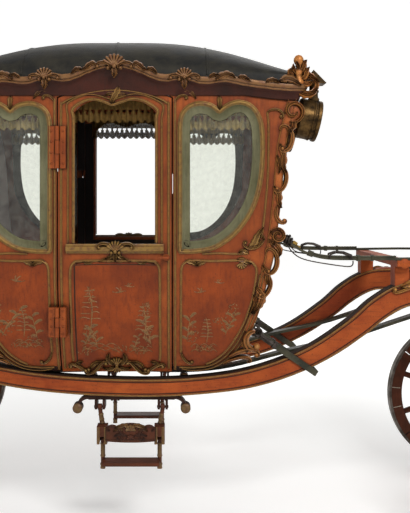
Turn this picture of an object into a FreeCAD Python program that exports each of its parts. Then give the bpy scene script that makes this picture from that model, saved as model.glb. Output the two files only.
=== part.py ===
# Gala berline, a large display model of a closed town coach at about 1:3.5.
# The body hangs on leather braces between two crane-neck perches. A fore carriage turns under the
# perches' front end, and the doors and the hanging steps fold.
# Millimetres. X runs forward from the middle of the door, Y to the coach's left, Z up from the floor.
import FreeCAD
import Part
import math
import os

V = FreeCAD.Vector

# Running gear: wheels, axles and track
WHEELBASE_FRONT = 691.0        # front axle ahead of the door's middle
WHEELBASE_REAR = 453.0         # rear axle behind the door's middle
FRONT_WHEEL_R = 152.0
REAR_WHEEL_R = 200.0
HALF_TRACK = 204.0
TYRE_THICK = 5.0
TYRE_WIDTH = 17.0
FELLOE_DEPTH = 21.0
FELLOE_WIDTH = 15.0
FELLOE_JOINT = 1.6             # open joint between two felloes
SPOKE_R_HUB = 7.5
SPOKE_R_RIM = 5.5
FRONT_SPOKES = 10
REAR_SPOKES = 12
NAVE_R = 24.0
NAVE_LENGTH = 70.0
AXLE_ARM_R = 7.0
AXLE_BAR = 16.0                # square iron bar between the arms
RUN_CLEARANCE = 0.06           # radial, arm in nave and pin in eye
END_CLEARANCE = 0.5            # along a shaft or between two turning faces
HUB_CAP_LENGTH = 12.0
COLLAR_LENGTH = 4.0
COLLAR_OVER = 5.0              # collar's radius beyond half the axle bar

# Perches
PERCH_OUTER = 138.0            # outer face from the middle
PERCH_WIDTH = 28.0
PERCH_REAR_Z = 300.0           # underside where it lies on the rear bolster
PERCH_LOW_Z = 223.5
PERCH_FRONT_Z = 376.0          # underside where it lies on the front bolster
PERCH_DEPTH = 28.0
PERCH_FRONT_DEPTH = 40.0
PERCH_REAR_END = 545.0
PERCH_FRONT_END = WHEELBASE_FRONT + 51.0

# Body
BODY_BOTTOM = 265.0
BELT_Z = 462.0
WALL_TOP = 748.0
BELT_HALF_WIDTH = 185.0
BOTTOM_HALF_WIDTH = 131.0
WALL = 8.0
FLOOR = 9.0
BOTTOM_HALF_LENGTH = 140.0
CORNICE_Z = 722.0
CORNICE_TOP = 745.0            # middle of the gilt rail where it runs level
CORNICE_OUT = 14.0
COVE_OUT = 7.0
RAIL_ABOVE = 4.0
RAIL_BELOW = 8.0
FAR = 1000.0                   # beyond every face of the body, for cutting
ROOF_RISE = 88.0               # crown above the wall's top
ROOF_SKIN = 6.0
ROOF_OUT = 1.0                 # roof's edge beyond the wall

# Doors
DOOR_HALF = 91.0
DOOR_SHOULDER_Z = 713.0
DOOR_CREST_Z = 732.0
DOOR_BOTTOM_Z = 264.0
DOOR_THICK = 12.0
DOOR_GAP = 2.0
DOOR_SWING_GAP = 5.0
SILL_Z = 476.0
DOOR_WINDOW_HALF = 66.0
DOOR_WINDOW_SHOULDER = 690.0
DOOR_WINDOW_CUSP = 702.0       # the head has a lobe on each side of the cusp
DOOR_WINDOW_LOBE = 710.0
DOOR_RECESS = 2.0
DOOR_PANEL_HALF = 63.0
SILL_DEEP = 11.0
SILL_OUT = 8.0
SILL_END = 12.0
SILL_SHELL_R = 16.0
HINGE_LEAF = 14.0
HINGE_OUT = 4.0                # hinge axis outside the body's side
HINGE_R = 3.6
HINGE_PIN_R = 1.6
HINGE_UPPER = (600.0, 668.0)
HINGE_LOWER = (330.0, 378.0)

# Moulding
MOULDING = 5.0                 # width of the gilt moulding round a panel or window
MOULDING_OUT = 4.0
COVE_WIDTH = 16.0              # painted cove inside a quarter window's moulding
COVE_DEPTH = 3.0
COVE_PROUD = 1.2

# Carving down the corner posts
CARVING_DEEP = 14.0            # from the body's side in towards its middle
CARVING_STRIP = 6.0
SCROLL_WIDTH = 6.0

# Inside the body
BENCH_HALF = 150.0
BENCH_Z = 375.0
BENCH_EDGE = 107.0             # front of each bench from the middle of the door
CUSHION_THICK = 28.0
CUSHION_LIP = 6.0
BACK_THICK = 16.0
FRONT_LIGHT_Z = 500.0
FRONT_LIGHT_HALF = 110.0
FRONT_LIGHT_SHOULDER = 660.0
FRONT_LIGHT_TOP = 706.0
GLASS_THICK = 2.0
GLASS_DEEP = 3.0

# Suspension leather
BRACE_Y = 96.0
BRACE_WIDTH = 20.0
BRACE_THICK = 5.0
CHECK_Y = 146.0
CHECK_Z = 453.0
LOOP_THICK = 3.0
SOFT_GAP = 0.3
WINCH_R = 7.0
FRONT_WINCH_X = WHEELBASE_FRONT - 91.0
FRONT_WINCH_Z = 390.0
REAR_WINCH_X = 524.0
REAR_WINCH_Z = 363.0
CHECK_THICK = 4.0
CHECK_WIDTH = 12.0
CHECK_START_X = 276.0
CHECK_START_Z = 486.0
CHECK_FRONT_END = WHEELBASE_FRONT - 99.0
COLLAR_TOP_X = 234.0
COLLAR_TOP_Z = 328.0
COLLAR_LOW_X = 331.0
COLLAR_LOW_Z = 262.0
COLLAR_WIDTH = 10.0

# Steps
STEP_X = 24.0
STEP_ARM = 90.0                # from the middle to the ball on the bracket's curled end
STEP_BALL_R = 8.3
STEP_PIN_X = 52.0
STEP_LEG_X = 47.0
STEP_LEG_R = 3.5
STEP_PIN_R = 2.2
STEP_EAR = 4.0
STEP_EAR_GAP = 1.0             # a leg leans, so it needs room between its ears as it swings
STEP_PIVOT_Z = 208.0
STEP_PIVOT_OUT = 2.0           # pins beyond the perch's outer face
STEP_TREAD_DEPTH = 30.0
STEP_TREAD_THICK = 6.0
STEP_TREAD_IN = 6.0            # tread's back edge behind the pins
STEP_TREAD_HALF = 40.0
STEP_CHEEK = 8.5               # half the width of the cheek that a lower leg hangs in
STEP_CHEEK_TOP = 180.0
STEP_FOLD_Z = 155.0
STEP_ARM_WIDTH = 5.0
STEP_CREST_Z = 184.0
UPPER_TREAD_Z = 163.0
LOWER_TREAD_Z = 122.0
STEP_FOOT_Z = 106.0

# Fore carriage
PLATE_R = 95.0
PLATE_WIDTH = 22.0
PLATE_THICK = 6.0
PLATE_Z = 284.0                # underside of the lower turning plate
KINGPIN_R = 9.0
FUTCHELL_Y = 24.0
FUTCHELL_W = 16.0
FUTCHELL_Z = 206.0
FUTCHELL_H = 24.0
SPLINTER_X = WHEELBASE_FRONT + 181.0
SPLINTER_HALF = 178.0
POLE_LENGTH = 700.0            # beyond the splinter bar
POLE_TIP_R = 9.0
POLE_R = 11.5
POLE_CAP = 34.0
FUTCHELL_REAR = 96.0
SWAY_HALF = 70.0
CROSS_HALF = 8.0               # half the width of a timber across the futchells
TRACE_BOLT_R = 4.0
TRACE_BOLT_IN = 14.0
KINGPIN_HEAD_R = 15.0

# Front and rear seats of the servants
BOX_SEAT_X = WHEELBASE_FRONT - 26.0
BOX_SEAT_Z = 556.0
BOX_SEAT_HALF_Y = 118.0
BOX_SEAT_HALF_X = 62.0
FOOTBOARD_X = WHEELBASE_FRONT + 147.0
FOOTBOARD_THICK = 9.0
SEAT_BOARD = 9.0
IRON_THICK = 8.0
PLATFORM_OVERHANG = 85.0
PLATFORM_THICK = 12.0

# Bolsters, standards and crossbars
BOLSTER_HALF = 20.0
BOLSTER_REACH = 150.0
BOLSTER_SCOOP_R = 180.0
BOLSTER_SCOOP = 26.0
FORE_BOLSTER_REACH = 105.0
FRONT_CROSS_X = WHEELBASE_FRONT * 0.6845
REAR_CROSS_X = 494.0
STANDARD_HALF = 12.0
CROSSBAR_DEEP = 13.0

# Lamps
LAMP_X = 320.0
LAMP_Y = 139.0
LAMP_Z = 683.0
LAMP_R = 33.0
LAMP_DEPTH = 40.0
LAMP_TILT = 11.5
LAMP_RIM = 2.5
LAMP_HOOD_R = 23.0
LAMP_HOOD_TOP = 84.0
LAMP_HOOD_RISE = 21.0
LAMP_ARM_R = 7.0
LAMP_ARM = 60.0
CHIMNEY_R = 8.0
CHIMNEY_X = 6.0
FINIAL_BALL_R = 7.0
FINIAL_TOP = 774.0
FINIAL_R = 8.0
VOLUTE_R = 17.0
VOLUTE_WIDTH = 7.0
VOLUTE_THICK = 14.0

# The frame's origin lies under the middle of the whole length
REAR_END = -(WHEELBASE_REAR + REAR_WHEEL_R)
FRONT_END = SPLINTER_X + POLE_LENGTH
X_MIDDLE = (REAR_END + FRONT_END) / 2

PARTS = {}


def keep(name, *solids):
    """Stores a piece: one or more solids that make up a node."""
    shape = solids[0] if len(solids) == 1 else Part.makeCompound(list(solids))
    PARTS[name] = shape


def box(x0, x1, y0, y1, z0, z1):
    return Part.makeBox(x1 - x0, y1 - y0, z1 - z0, V(x0, y0, z0))


def rod(start, end, radius, end_radius=None):
    """A round bar between two points, tapered where an end radius is given."""
    a = V(*start)
    b = V(*end)
    length = (b - a).Length
    if end_radius is None or abs(end_radius - radius) < 1e-6:
        return Part.makeCylinder(radius, length, a, b - a)
    return Part.makeCone(radius, end_radius, length, a, b - a)


def join(*solids):
    """Fuses pieces that are made as one."""
    shape = solids[0].multiFuse(list(solids[1:])) if len(solids) > 1 else solids[0]
    return shape.removeSplitter()


def mirror_y(shape):
    return shape.mirror(V(0, 0, 0), V(0, 1, 0))


def mirror_x(shape):
    return shape.mirror(V(0, 0, 0), V(1, 0, 0))


def both_sides(shape):
    return [shape, mirror_y(shape)]


def turned(shape, angle, centre, axis):
    copy = shape.copy()
    copy.rotate(V(*centre), V(*axis), angle)
    return copy


def curve(points):
    """A smooth edge through points."""
    spline = Part.BSplineCurve()
    spline.interpolate([V(*p) for p in points])
    return spline.toShape()


def outline_xz(start, *steps):
    """A closed outline in the XZ plane: a step of 2 numbers is straight, one of 4 is an arc."""
    edges = []
    at = V(start[0], 0, start[1])
    for step in steps:
        to = V(step[-2], 0, step[-1])
        if len(step) == 4:
            middle = V(step[0], 0, step[1])
            edges.append(Part.Arc(at, middle, to).toShape())
        else:
            edges.append(Part.LineSegment(at, to).toShape())
        at = to
    first = V(start[0], 0, start[1])
    if (first - at).Length > 1e-6:
        edges.append(Part.LineSegment(at, first).toShape())
    return Part.Wire(edges)


def along_y(wire, y0, y1):
    """The solid that an XZ outline sweeps from y0 to y1."""
    face = Part.Face(wire)
    face.translate(V(0, y0, 0))
    return face.extrude(V(0, y1 - y0, 0))


def wider(wire, distance):
    """The outline moved outwards, or inwards where the distance is negative."""
    return wire.makeOffset2D(distance, 0) if abs(distance) > 1e-9 else wire


def ring(wire, inner, outer, y0, y1):
    """The frame between two offsets of an outline."""
    return along_y(wider(wire, outer), y0, y1).cut(along_y(wider(wire, inner), y0 - 1, y1 + 1))


def lens(x0, z0, x1, z1, width):
    """A leaf's outline from its root to its tip."""
    length = math.hypot(x1 - x0, z1 - z0)
    across_x = -(z1 - z0) / length * width / 2
    across_z = (x1 - x0) / length * width / 2
    middle_x = (x0 + x1) / 2
    middle_z = (z0 + z1) / 2
    return outline_xz((x0, z0), (middle_x + across_x, middle_z + across_z, x1, z1),
                      (middle_x - across_x, middle_z - across_z, x0, z0))


def on_circle(x, z, radius, angle):
    return x + radius * math.cos(math.radians(angle)), z + radius * math.sin(math.radians(angle))


def c_scroll(x, z, radius, width, first, last):
    """The outline of a band that follows a circle from one angle to another."""
    middle = (first + last) / 2
    inner = radius - width
    return outline_xz(
        on_circle(x, z, radius, first),
        (*on_circle(x, z, radius, middle), *on_circle(x, z, radius, last)),
        on_circle(x, z, inner, last),
        (*on_circle(x, z, inner, middle), *on_circle(x, z, inner, first)))


def fan(x, z, radius, ribs, first=12, last=168):
    """The outline of a shell: a fan with a round lobe at each rib."""
    step = (last - first) / ribs
    lobes = []
    for i in range(ribs):
        start = first + i * step
        bulge = on_circle(x, z, radius * 1.12, start + step / 2)
        lobes.append((*bulge, *on_circle(x, z, radius, start + step)))
    return outline_xz((x, z - radius * 0.3), on_circle(x, z, radius, first), *lobes)


# Body: side profile and cross-section
TURN_UNDER = BELT_HALF_WIDTH - BOTTOM_HALF_WIDTH
BELT_RISE = BELT_Z - BODY_BOTTOM
TURN_R = (TURN_UNDER ** 2 + BELT_RISE ** 2) / (2 * TURN_UNDER)


def half_width(z, out=0.0):
    """Half the body's width at a height: upright above the belt, rounded in below it."""
    if z >= BELT_Z:
        return BELT_HALF_WIDTH + out
    drop = BELT_Z - z
    radius = TURN_R + out
    return BELT_HALF_WIDTH - TURN_R + math.sqrt(radius ** 2 - drop ** 2)


# Front end of the side profile, from the bottom corner to the roof
END_CURVE = [
    (BOTTOM_HALF_LENGTH, BODY_BOTTOM),
    (BOTTOM_HALF_LENGTH + 46, BODY_BOTTOM + 27),
    (BOTTOM_HALF_LENGTH + 76, BODY_BOTTOM + 68),
    (BOTTOM_HALF_LENGTH + 91, BELT_Z - 74),
    (BOTTOM_HALF_LENGTH + 109, BELT_Z),
    (BOTTOM_HALF_LENGTH + 121, BELT_Z + 96),
    (BOTTOM_HALF_LENGTH + 127, CORNICE_Z - 84),
    (BOTTOM_HALF_LENGTH + 139, CORNICE_Z - 30),
    (BOTTOM_HALF_LENGTH + 153, WALL_TOP),
]

END_TOP_X = END_CURVE[-1][0]


def inset_curve(points, distance):
    """Points moved along the curve's normal, towards the body's inside where distance is positive."""
    moved = []
    for i, (x, z) in enumerate(points):
        xa, za = points[max(i - 1, 0)]
        xb, zb = points[min(i + 1, len(points) - 1)]
        length = math.hypot(xb - xa, zb - za)
        moved.append((x - distance * (zb - za) / length, z + distance * (xb - xa) / length))
    return moved


def length_profile(inset, floor_z, top_z):
    """The body's side profile as a solid across the whole width, moved in by an inset."""
    points = inset_curve(END_CURVE, inset)
    first = points[0]
    last = points[-1]
    front = curve([(x, 0, z) for x, z in points])
    rear = curve([(-x, 0, z) for x, z in reversed(points)])
    wire = Part.Wire([
        front,
        Part.LineSegment(V(last[0], 0, last[1]), V(-last[0], 0, last[1])).toShape(),
        rear,
        Part.LineSegment(V(-first[0], 0, first[1]), V(first[0], 0, first[1])).toShape(),
    ])
    solid = along_y(wire, -2 * BELT_HALF_WIDTH, 2 * BELT_HALF_WIDTH)
    return solid.common(box(-FAR, FAR, -FAR, FAR, floor_z, top_z))


def cross_section(out, floor_z=BODY_BOTTOM, top_z=WALL_TOP):
    """The body's cross-section as a solid along the whole length, moved out by a distance."""
    bottom = half_width(floor_z, out)
    middle_z = (floor_z + BELT_Z) / 2
    side = half_width(BELT_Z, out)

    def edge(sign):
        return Part.Arc(
            V(0, sign * bottom, floor_z),
            V(0, sign * half_width(middle_z, out), middle_z),
            V(0, sign * side, BELT_Z)).toShape()

    corners = [V(0, side, BELT_Z), V(0, side, top_z), V(0, -side, top_z), V(0, -side, BELT_Z)]
    edges = [edge(1)]
    edges += [Part.LineSegment(corners[i], corners[i + 1]).toShape() for i in range(3)]
    edges.append(edge(-1))
    edges.append(Part.LineSegment(V(0, -bottom, floor_z), V(0, bottom, floor_z)).toShape())
    face = Part.Face(Part.Wire(Part.__sortEdges__(edges)))
    face.translate(V(-FAR, 0, 0))
    return face.extrude(V(2 * FAR, 0, 0))


def skin(inner, outer, floor_z=BODY_BOTTOM, top_z=WALL_TOP):
    """The layer over the body's sides between two distances from the wall's outer face."""
    return cross_section(outer, floor_z, top_z).cut(cross_section(inner, floor_z - 1, top_z + 1))


def left_half(shape):
    """The part of a shape on the coach's left."""
    return shape.common(box(-FAR, FAR, PERCH_WIDTH, FAR, 0, FAR))


# Outlines on the body's side
DOOR_OUTLINE = outline_xz(
    (-DOOR_HALF, DOOR_BOTTOM_Z), (DOOR_HALF, DOOR_BOTTOM_Z), (DOOR_HALF, DOOR_SHOULDER_Z),
    (0, DOOR_CREST_Z, -DOOR_HALF, DOOR_SHOULDER_Z))
DOOR_WINDOW = outline_xz(
    (-DOOR_WINDOW_HALF, SILL_Z), (DOOR_WINDOW_HALF, SILL_Z), (DOOR_WINDOW_HALF, DOOR_WINDOW_SHOULDER),
    (DOOR_WINDOW_HALF * 0.5, DOOR_WINDOW_LOBE, 0, DOOR_WINDOW_CUSP),
    (-DOOR_WINDOW_HALF * 0.5, DOOR_WINDOW_LOBE, -DOOR_WINDOW_HALF, DOOR_WINDOW_SHOULDER))
FRONT_LIGHT = outline_xz(
    (-FRONT_LIGHT_HALF, FRONT_LIGHT_Z), (FRONT_LIGHT_HALF, FRONT_LIGHT_Z),
    (FRONT_LIGHT_HALF, FRONT_LIGHT_SHOULDER),
    (0, FRONT_LIGHT_TOP, -FRONT_LIGHT_HALF, FRONT_LIGHT_SHOULDER))
QUARTER_X = DOOR_HALF + 13
QUARTER_WINDOW = outline_xz(
    (QUARTER_X, BELT_Z + 6), (QUARTER_X, CORNICE_Z - 34),
    (QUARTER_X + 25, CORNICE_Z - 16, QUARTER_X + 63, CORNICE_Z - 27),
    (QUARTER_X + 104, CORNICE_Z - 15, QUARTER_X + 132, CORNICE_Z - 56),
    (QUARTER_X + 129, BELT_Z + 110),
    (QUARTER_X + 100, BELT_Z + 54, QUARTER_X + 54, BELT_Z + 16),
    (QUARTER_X + 30, BELT_Z + 8, QUARTER_X, BELT_Z + 6))
LOWER_PANEL = outline_xz(
    (QUARTER_X, BELT_Z - 12), (QUARTER_X, BODY_BOTTOM + 10), (QUARTER_X + 44, BODY_BOTTOM + 10),
    (QUARTER_X + 88, BODY_BOTTOM + 60, QUARTER_X + 110, BODY_BOTTOM + 120),
    (QUARTER_X + 122, BELT_Z - 30, QUARTER_X + 126, BELT_Z - 12))
DOOR_PANEL = outline_xz(
    (-DOOR_PANEL_HALF, DOOR_BOTTOM_Z + 20), (0, DOOR_BOTTOM_Z + 28, DOOR_PANEL_HALF, DOOR_BOTTOM_Z + 20),
    (DOOR_PANEL_HALF, BELT_Z - 10), (0, BELT_Z - 18, -DOOR_PANEL_HALF, BELT_Z - 10))


def build_body():
    outer = length_profile(0, BODY_BOTTOM, WALL_TOP).common(cross_section(0))
    floor_top = BODY_BOTTOM + FLOOR
    hollow_long = length_profile(WALL, BODY_BOTTOM - 1, WALL_TOP + 1)
    hollow_wide = cross_section(-WALL, BODY_BOTTOM, WALL_TOP + 1)
    door_room = along_y(wider(DOOR_OUTLINE, DOOR_GAP), -FAR, FAR).cut(
        cross_section(-DOOR_THICK - DOOR_GAP, BODY_BOTTOM - 20, WALL_TOP + 1))
    upper = outer.common(box(-FAR, FAR, -FAR, FAR, floor_top, WALL_TOP))

    keep("body_floor", outer.common(box(-FAR, FAR, -FAR, FAR, 0, floor_top)).cut(door_room))

    side = left_half(upper.cut(hollow_wide)).cut(door_room)
    for sign in (1, -1):
        window = along_y(QUARTER_WINDOW, 0, FAR)
        side = side.cut(window if sign > 0 else mirror_x(window))
    keep("side_wall_left", side)
    keep("side_wall_right", mirror_y(side))

    ends = upper.common(hollow_wide).cut(hollow_long)
    front = ends.common(box(0, FAR, -FAR, FAR, 0, FAR))
    front_window = turned(along_y(FRONT_LIGHT, -FAR, 0), 90, (0, 0, 0), (0, 0, 1))
    keep("front_wall", front.cut(front_window))
    keep("rear_wall", ends.common(box(-FAR, 0, -FAR, FAR, 0, FAR)))

    # Glass: the quarter windows and the front light; the door glasses are lowered out of sight
    deep = COVE_DEPTH + GLASS_THICK
    pane_layer = skin(-deep, -COVE_DEPTH)
    quarter = left_half(pane_layer.common(along_y(QUARTER_WINDOW, 0, FAR)))
    panes = []
    for piece in (quarter, mirror_x(quarter)):
        panes += both_sides(piece)
    pane_layer = length_profile(GLASS_DEEP, FRONT_LIGHT_Z - FLOOR, WALL_TOP).cut(
        length_profile(GLASS_DEEP + GLASS_THICK, FRONT_LIGHT_Z - 2 * FLOOR, WALL_TOP + 1))
    panes.append(front_window.common(pane_layer))
    keep("window_glass", *panes)

    # Gilt mouldings stand on the walls round the windows and panels; each window has a cove inside it
    layer = skin(0, MOULDING_OUT)
    proud = ring(QUARTER_WINDOW, -MOULDING / 2, MOULDING, 0, FAR).fuse(ring(LOWER_PANEL, 0, MOULDING, 0, FAR))
    cove = ring(QUARTER_WINDOW, -COVE_WIDTH, 0, 0, FAR).common(skin(-COVE_DEPTH, COVE_PROUD))
    frames = left_half(proud.common(layer).fuse(cove)).removeSplitter()
    frames = frames.cut(along_y(wider(DOOR_OUTLINE, DOOR_SWING_GAP), 0, FAR))
    trim = Part.makeCompound([frames, mirror_x(frames)])
    for low, high in (HINGE_LOWER, HINGE_UPPER):
        edge = DOOR_HALF + DOOR_GAP / 2 + HINGE_LEAF + SOFT_GAP
        trim = trim.cut(box(-edge, 0, 0, FAR, low - SOFT_GAP, high + SOFT_GAP))
    keep("panel_mouldings", *trim.Solids, *mirror_y(trim).Solids)
    build_corner_carvings(outer)


# Scrolls down the front left corner post: middle, radius, first and last angle of the band
CORNER_SCROLLS = [
    (END_TOP_X - 8, CORNICE_Z - 21, 16, -100, 130),
    (BOTTOM_HALF_LENGTH + 127, CORNICE_Z - 76, 12, -110, 110),
    (BOTTOM_HALF_LENGTH + 116, BELT_Z + 110, 12, -100, 120),
    (BOTTOM_HALF_LENGTH + 118, BELT_Z + 64, 15, -80, 80),
    (BOTTOM_HALF_LENGTH + 110, BELT_Z + 24, 14, -120, 90),
    (BOTTOM_HALF_LENGTH + 98, BELT_Z - 22, 13, -90, 100),
    (BOTTOM_HALF_LENGTH + 87, BODY_BOTTOM + 104, 12, -100, 100),
    (BOTTOM_HALF_LENGTH + 79, BODY_BOTTOM + 66, 15, -110, 90),
    (BOTTOM_HALF_LENGTH + 72, BODY_BOTTOM + 27, 11, -100, 100),
]
# Leaves between the scrolls: root, tip and width
CORNER_LEAVES = [
    (END_TOP_X - 12, CORNICE_Z - 36, END_TOP_X - 10, CORNICE_Z - 66, 13),
    (BOTTOM_HALF_LENGTH + 122, CORNICE_Z - 84, BOTTOM_HALF_LENGTH + 131, BELT_Z + 132, 12),
    (BOTTOM_HALF_LENGTH + 118, BELT_Z + 106, BOTTOM_HALF_LENGTH + 126, BELT_Z + 76, 12),
    (BOTTOM_HALF_LENGTH + 108, BELT_Z + 18, BOTTOM_HALF_LENGTH + 120, BELT_Z - 8, 14),
    (BOTTOM_HALF_LENGTH + 96, BELT_Z - 24, BOTTOM_HALF_LENGTH + 106, BELT_Z - 52, 12),
    (BOTTOM_HALF_LENGTH + 88, BELT_Z - 58, BOTTOM_HALF_LENGTH + 82, BODY_BOTTOM + 98, 15),
]


def build_corner_carvings(body):
    """The carved and gilt corner posts: a strip with scrolls and leaves that stand out past the ends."""
    post = length_profile(-CARVING_STRIP, BODY_BOTTOM + FLOOR, CORNICE_Z).cut(
        length_profile(CARVING_STRIP, BODY_BOTTOM, CORNICE_Z + 1))
    solids = [post.common(box(0, FAR, 0, FAR, 0, FAR))]
    for x, z, radius, first, last in CORNER_SCROLLS:
        solids.append(along_y(c_scroll(x, z, radius, SCROLL_WIDTH, first, last), 0, FAR / 2))
        for angle in (first, last):
            ball_x, ball_z = on_circle(x, z, radius - SCROLL_WIDTH / 2, angle)
            solids.append(rod((ball_x, 0, ball_z), (ball_x, FAR / 2, ball_z), SCROLL_WIDTH * 0.7))
    for leaf in CORNER_LEAVES:
        solids.append(along_y(lens(*leaf), 0, FAR / 2))
    layer = cross_section(MOULDING_OUT, BODY_BOTTOM, CORNICE_Z).cut(
        cross_section(-CARVING_DEEP, BODY_BOTTOM - 1, CORNICE_Z + 1))
    carving = left_half(join(*[s.common(layer) for s in solids]).cut(body))
    carving = carving.cut(PARTS["panel_mouldings"])
    corners = []
    for piece in (carving, mirror_x(carving)):
        main = max(piece.Solids, key=lambda s: s.Volume)
        corners += both_sides(main)
    keep("corner_carvings", *corners)


# The cornice's gilt rail rises over the door and at each shell: place along the side, height
SIDE_WAVE = [
    (0, CORNICE_TOP + 23), (28, CORNICE_TOP + 20), (58, CORNICE_TOP + 6), (84, CORNICE_TOP),
    (110, CORNICE_TOP + 4), (138, CORNICE_TOP - 3), (177, CORNICE_TOP), (230, CORNICE_TOP - 9),
    (END_TOP_X + CORNICE_OUT, CORNICE_TOP - 13)]
END_WAVE = [
    (0, CORNICE_TOP + 7), (40, CORNICE_TOP - 1), (70, CORNICE_TOP - 7), (114, CORNICE_TOP - 4),
    (BELT_HALF_WIDTH + CORNICE_OUT, CORNICE_TOP - 13)]
# Shells on the rail of each side: place, radius and ribs
RAIL_SHELLS = [(0, 19, 7), (111, 15, 7), (-111, 15, 7)]
# Leaves on the rail, mirrored fore and aft: root, tip and width
RAIL_LEAVES = [
    (26, CORNICE_TOP + 18, 54, CORNICE_TOP + 12, 12), (48, CORNICE_TOP + 8, 70, CORNICE_TOP + 5, 10),
    (160, CORNICE_TOP - 3, 194, CORNICE_TOP - 2, 14), (262, CORNICE_TOP - 9, 300, CORNICE_TOP - 12, 16)]


def wavy_slab(wave, above, below, reach, far):
    """A slab through the cornice: its edge follows a wave, its foot follows it too or is level."""
    points = [(-x, z) for x, z in reversed(wave[1:])] + wave
    upper = curve([(x, 0, z + above) for x, z in points])
    end_x, end_z = wave[-1]
    if below is None:
        foot = CORNICE_Z
        lower = Part.LineSegment(V(end_x, 0, foot), V(-end_x, 0, foot)).toShape()
    else:
        foot = end_z - below
        lower = curve([(x, 0, z - below) for x, z in reversed(points)])
    sides = [Part.LineSegment(V(end_x, 0, end_z + above), V(end_x, 0, foot)).toShape(),
             Part.LineSegment(V(-end_x, 0, foot), V(-end_x, 0, end_z + above)).toShape()]
    return along_y(Part.Wire([upper, sides[0], lower, sides[1]]), reach, far)


def cornice_ring(out, above, below):
    """A band round the body's head that stands out from the walls by a distance."""
    side = wavy_slab(SIDE_WAVE, above, below, BELT_HALF_WIDTH, BELT_HALF_WIDTH + out)
    side = side.common(box(-END_TOP_X - out, END_TOP_X + out, 0, FAR, 0, FAR))
    end = wavy_slab(END_WAVE, above, below, -END_TOP_X - out, -END_TOP_X + CORNICE_OUT)
    end = turned(end, 90, (0, 0, 0), (0, 0, 1))
    end = end.common(box(0, FAR, -BELT_HALF_WIDTH - out, BELT_HALF_WIDTH + out, 0, FAR))
    return both_sides(side) + [end, mirror_x(end)]


def build_cornice_and_roof():
    end_x = END_TOP_X
    body = length_profile(0, BODY_BOTTOM, WALL_TOP).common(cross_section(0))
    cap_x = end_x + ROOF_OUT + SOFT_GAP
    cap_y = BELT_HALF_WIDTH + ROOF_OUT + SOFT_GAP
    cap = box(-cap_x, cap_x, -cap_y, cap_y, WALL_TOP, FAR)
    rail_y = BELT_HALF_WIDTH + CORNICE_OUT
    carvings = []
    for x, radius, ribs in RAIL_SHELLS:
        base = CORNICE_TOP + (SIDE_WAVE[0][1] - CORNICE_TOP - RAIL_ABOVE if x == 0 else 0)
        carvings.append(along_y(fan(x, base, radius, ribs), cap_y + 2, rail_y + RAIL_ABOVE))
    for leaf in RAIL_LEAVES:
        raised = along_y(lens(*leaf), cap_y + 2, rail_y + RAIL_ABOVE / 2)
        carvings += [raised, mirror_x(raised)]
    carvings = [side for carving in carvings for side in both_sides(carving)]
    cove = cornice_ring(COVE_OUT, 0, None)
    rail = cornice_ring(CORNICE_OUT, RAIL_ABOVE, RAIL_BELOW)
    cornice = join(*cove, *rail, *carvings)
    room = along_y(wider(DOOR_OUTLINE, DOOR_SWING_GAP), -FAR, FAR)
    room = room.cut(box(-FAR, FAR, -BELT_HALF_WIDTH, BELT_HALF_WIDTH, 0, FAR))
    keep("cornice", cornice.cut(body).cut(cap).cut(room).cut(PARTS["corner_carvings"]))

    def vault(inset):
        x_edge = end_x + ROOF_OUT - inset
        y_edge = BELT_HALF_WIDTH + ROOF_OUT - inset
        crown = WALL_TOP + ROOF_RISE - inset
        base = WALL_TOP if inset == 0 else WALL_TOP - 1
        low = crown - ROOF_RISE * 0.66
        middle = crown - ROOF_RISE * 0.33
        high = crown - ROOF_RISE * 0.07
        half = [(124, 0, high), (224, 0, middle), (x_edge - 14, 0, low), (x_edge, 0, base)]
        rear_half = [(-x, 0, z) for x, y, z in reversed(half)]
        long_curve = curve(rear_half + [(0, 0, crown)] + half)
        closing = Part.LineSegment(V(x_edge, 0, base), V(-x_edge, 0, base)).toShape()
        long_vault = along_y(Part.Wire([long_curve, closing]), -y_edge, y_edge)
        half = [(0, 62, high), (0, 120, crown - ROOF_RISE * 0.3), (0, y_edge - 10, crown - ROOF_RISE * 0.73),
                (0, y_edge, base)]
        right_half = [(0, -y, z) for x, y, z in reversed(half)]
        wide_curve = curve(right_half + [(0, 0, crown)] + half)
        closing = Part.LineSegment(V(0, y_edge, base), V(0, -y_edge, base)).toShape()
        face = Part.Face(Part.Wire([wide_curve, closing]))
        face.translate(V(-x_edge, 0, 0))
        return long_vault.common(face.extrude(V(2 * x_edge, 0, 0)))

    keep("roof", vault(0).cut(vault(ROOF_SKIN)).common(box(-FAR, FAR, -FAR, FAR, WALL_TOP, FAR)))


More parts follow.
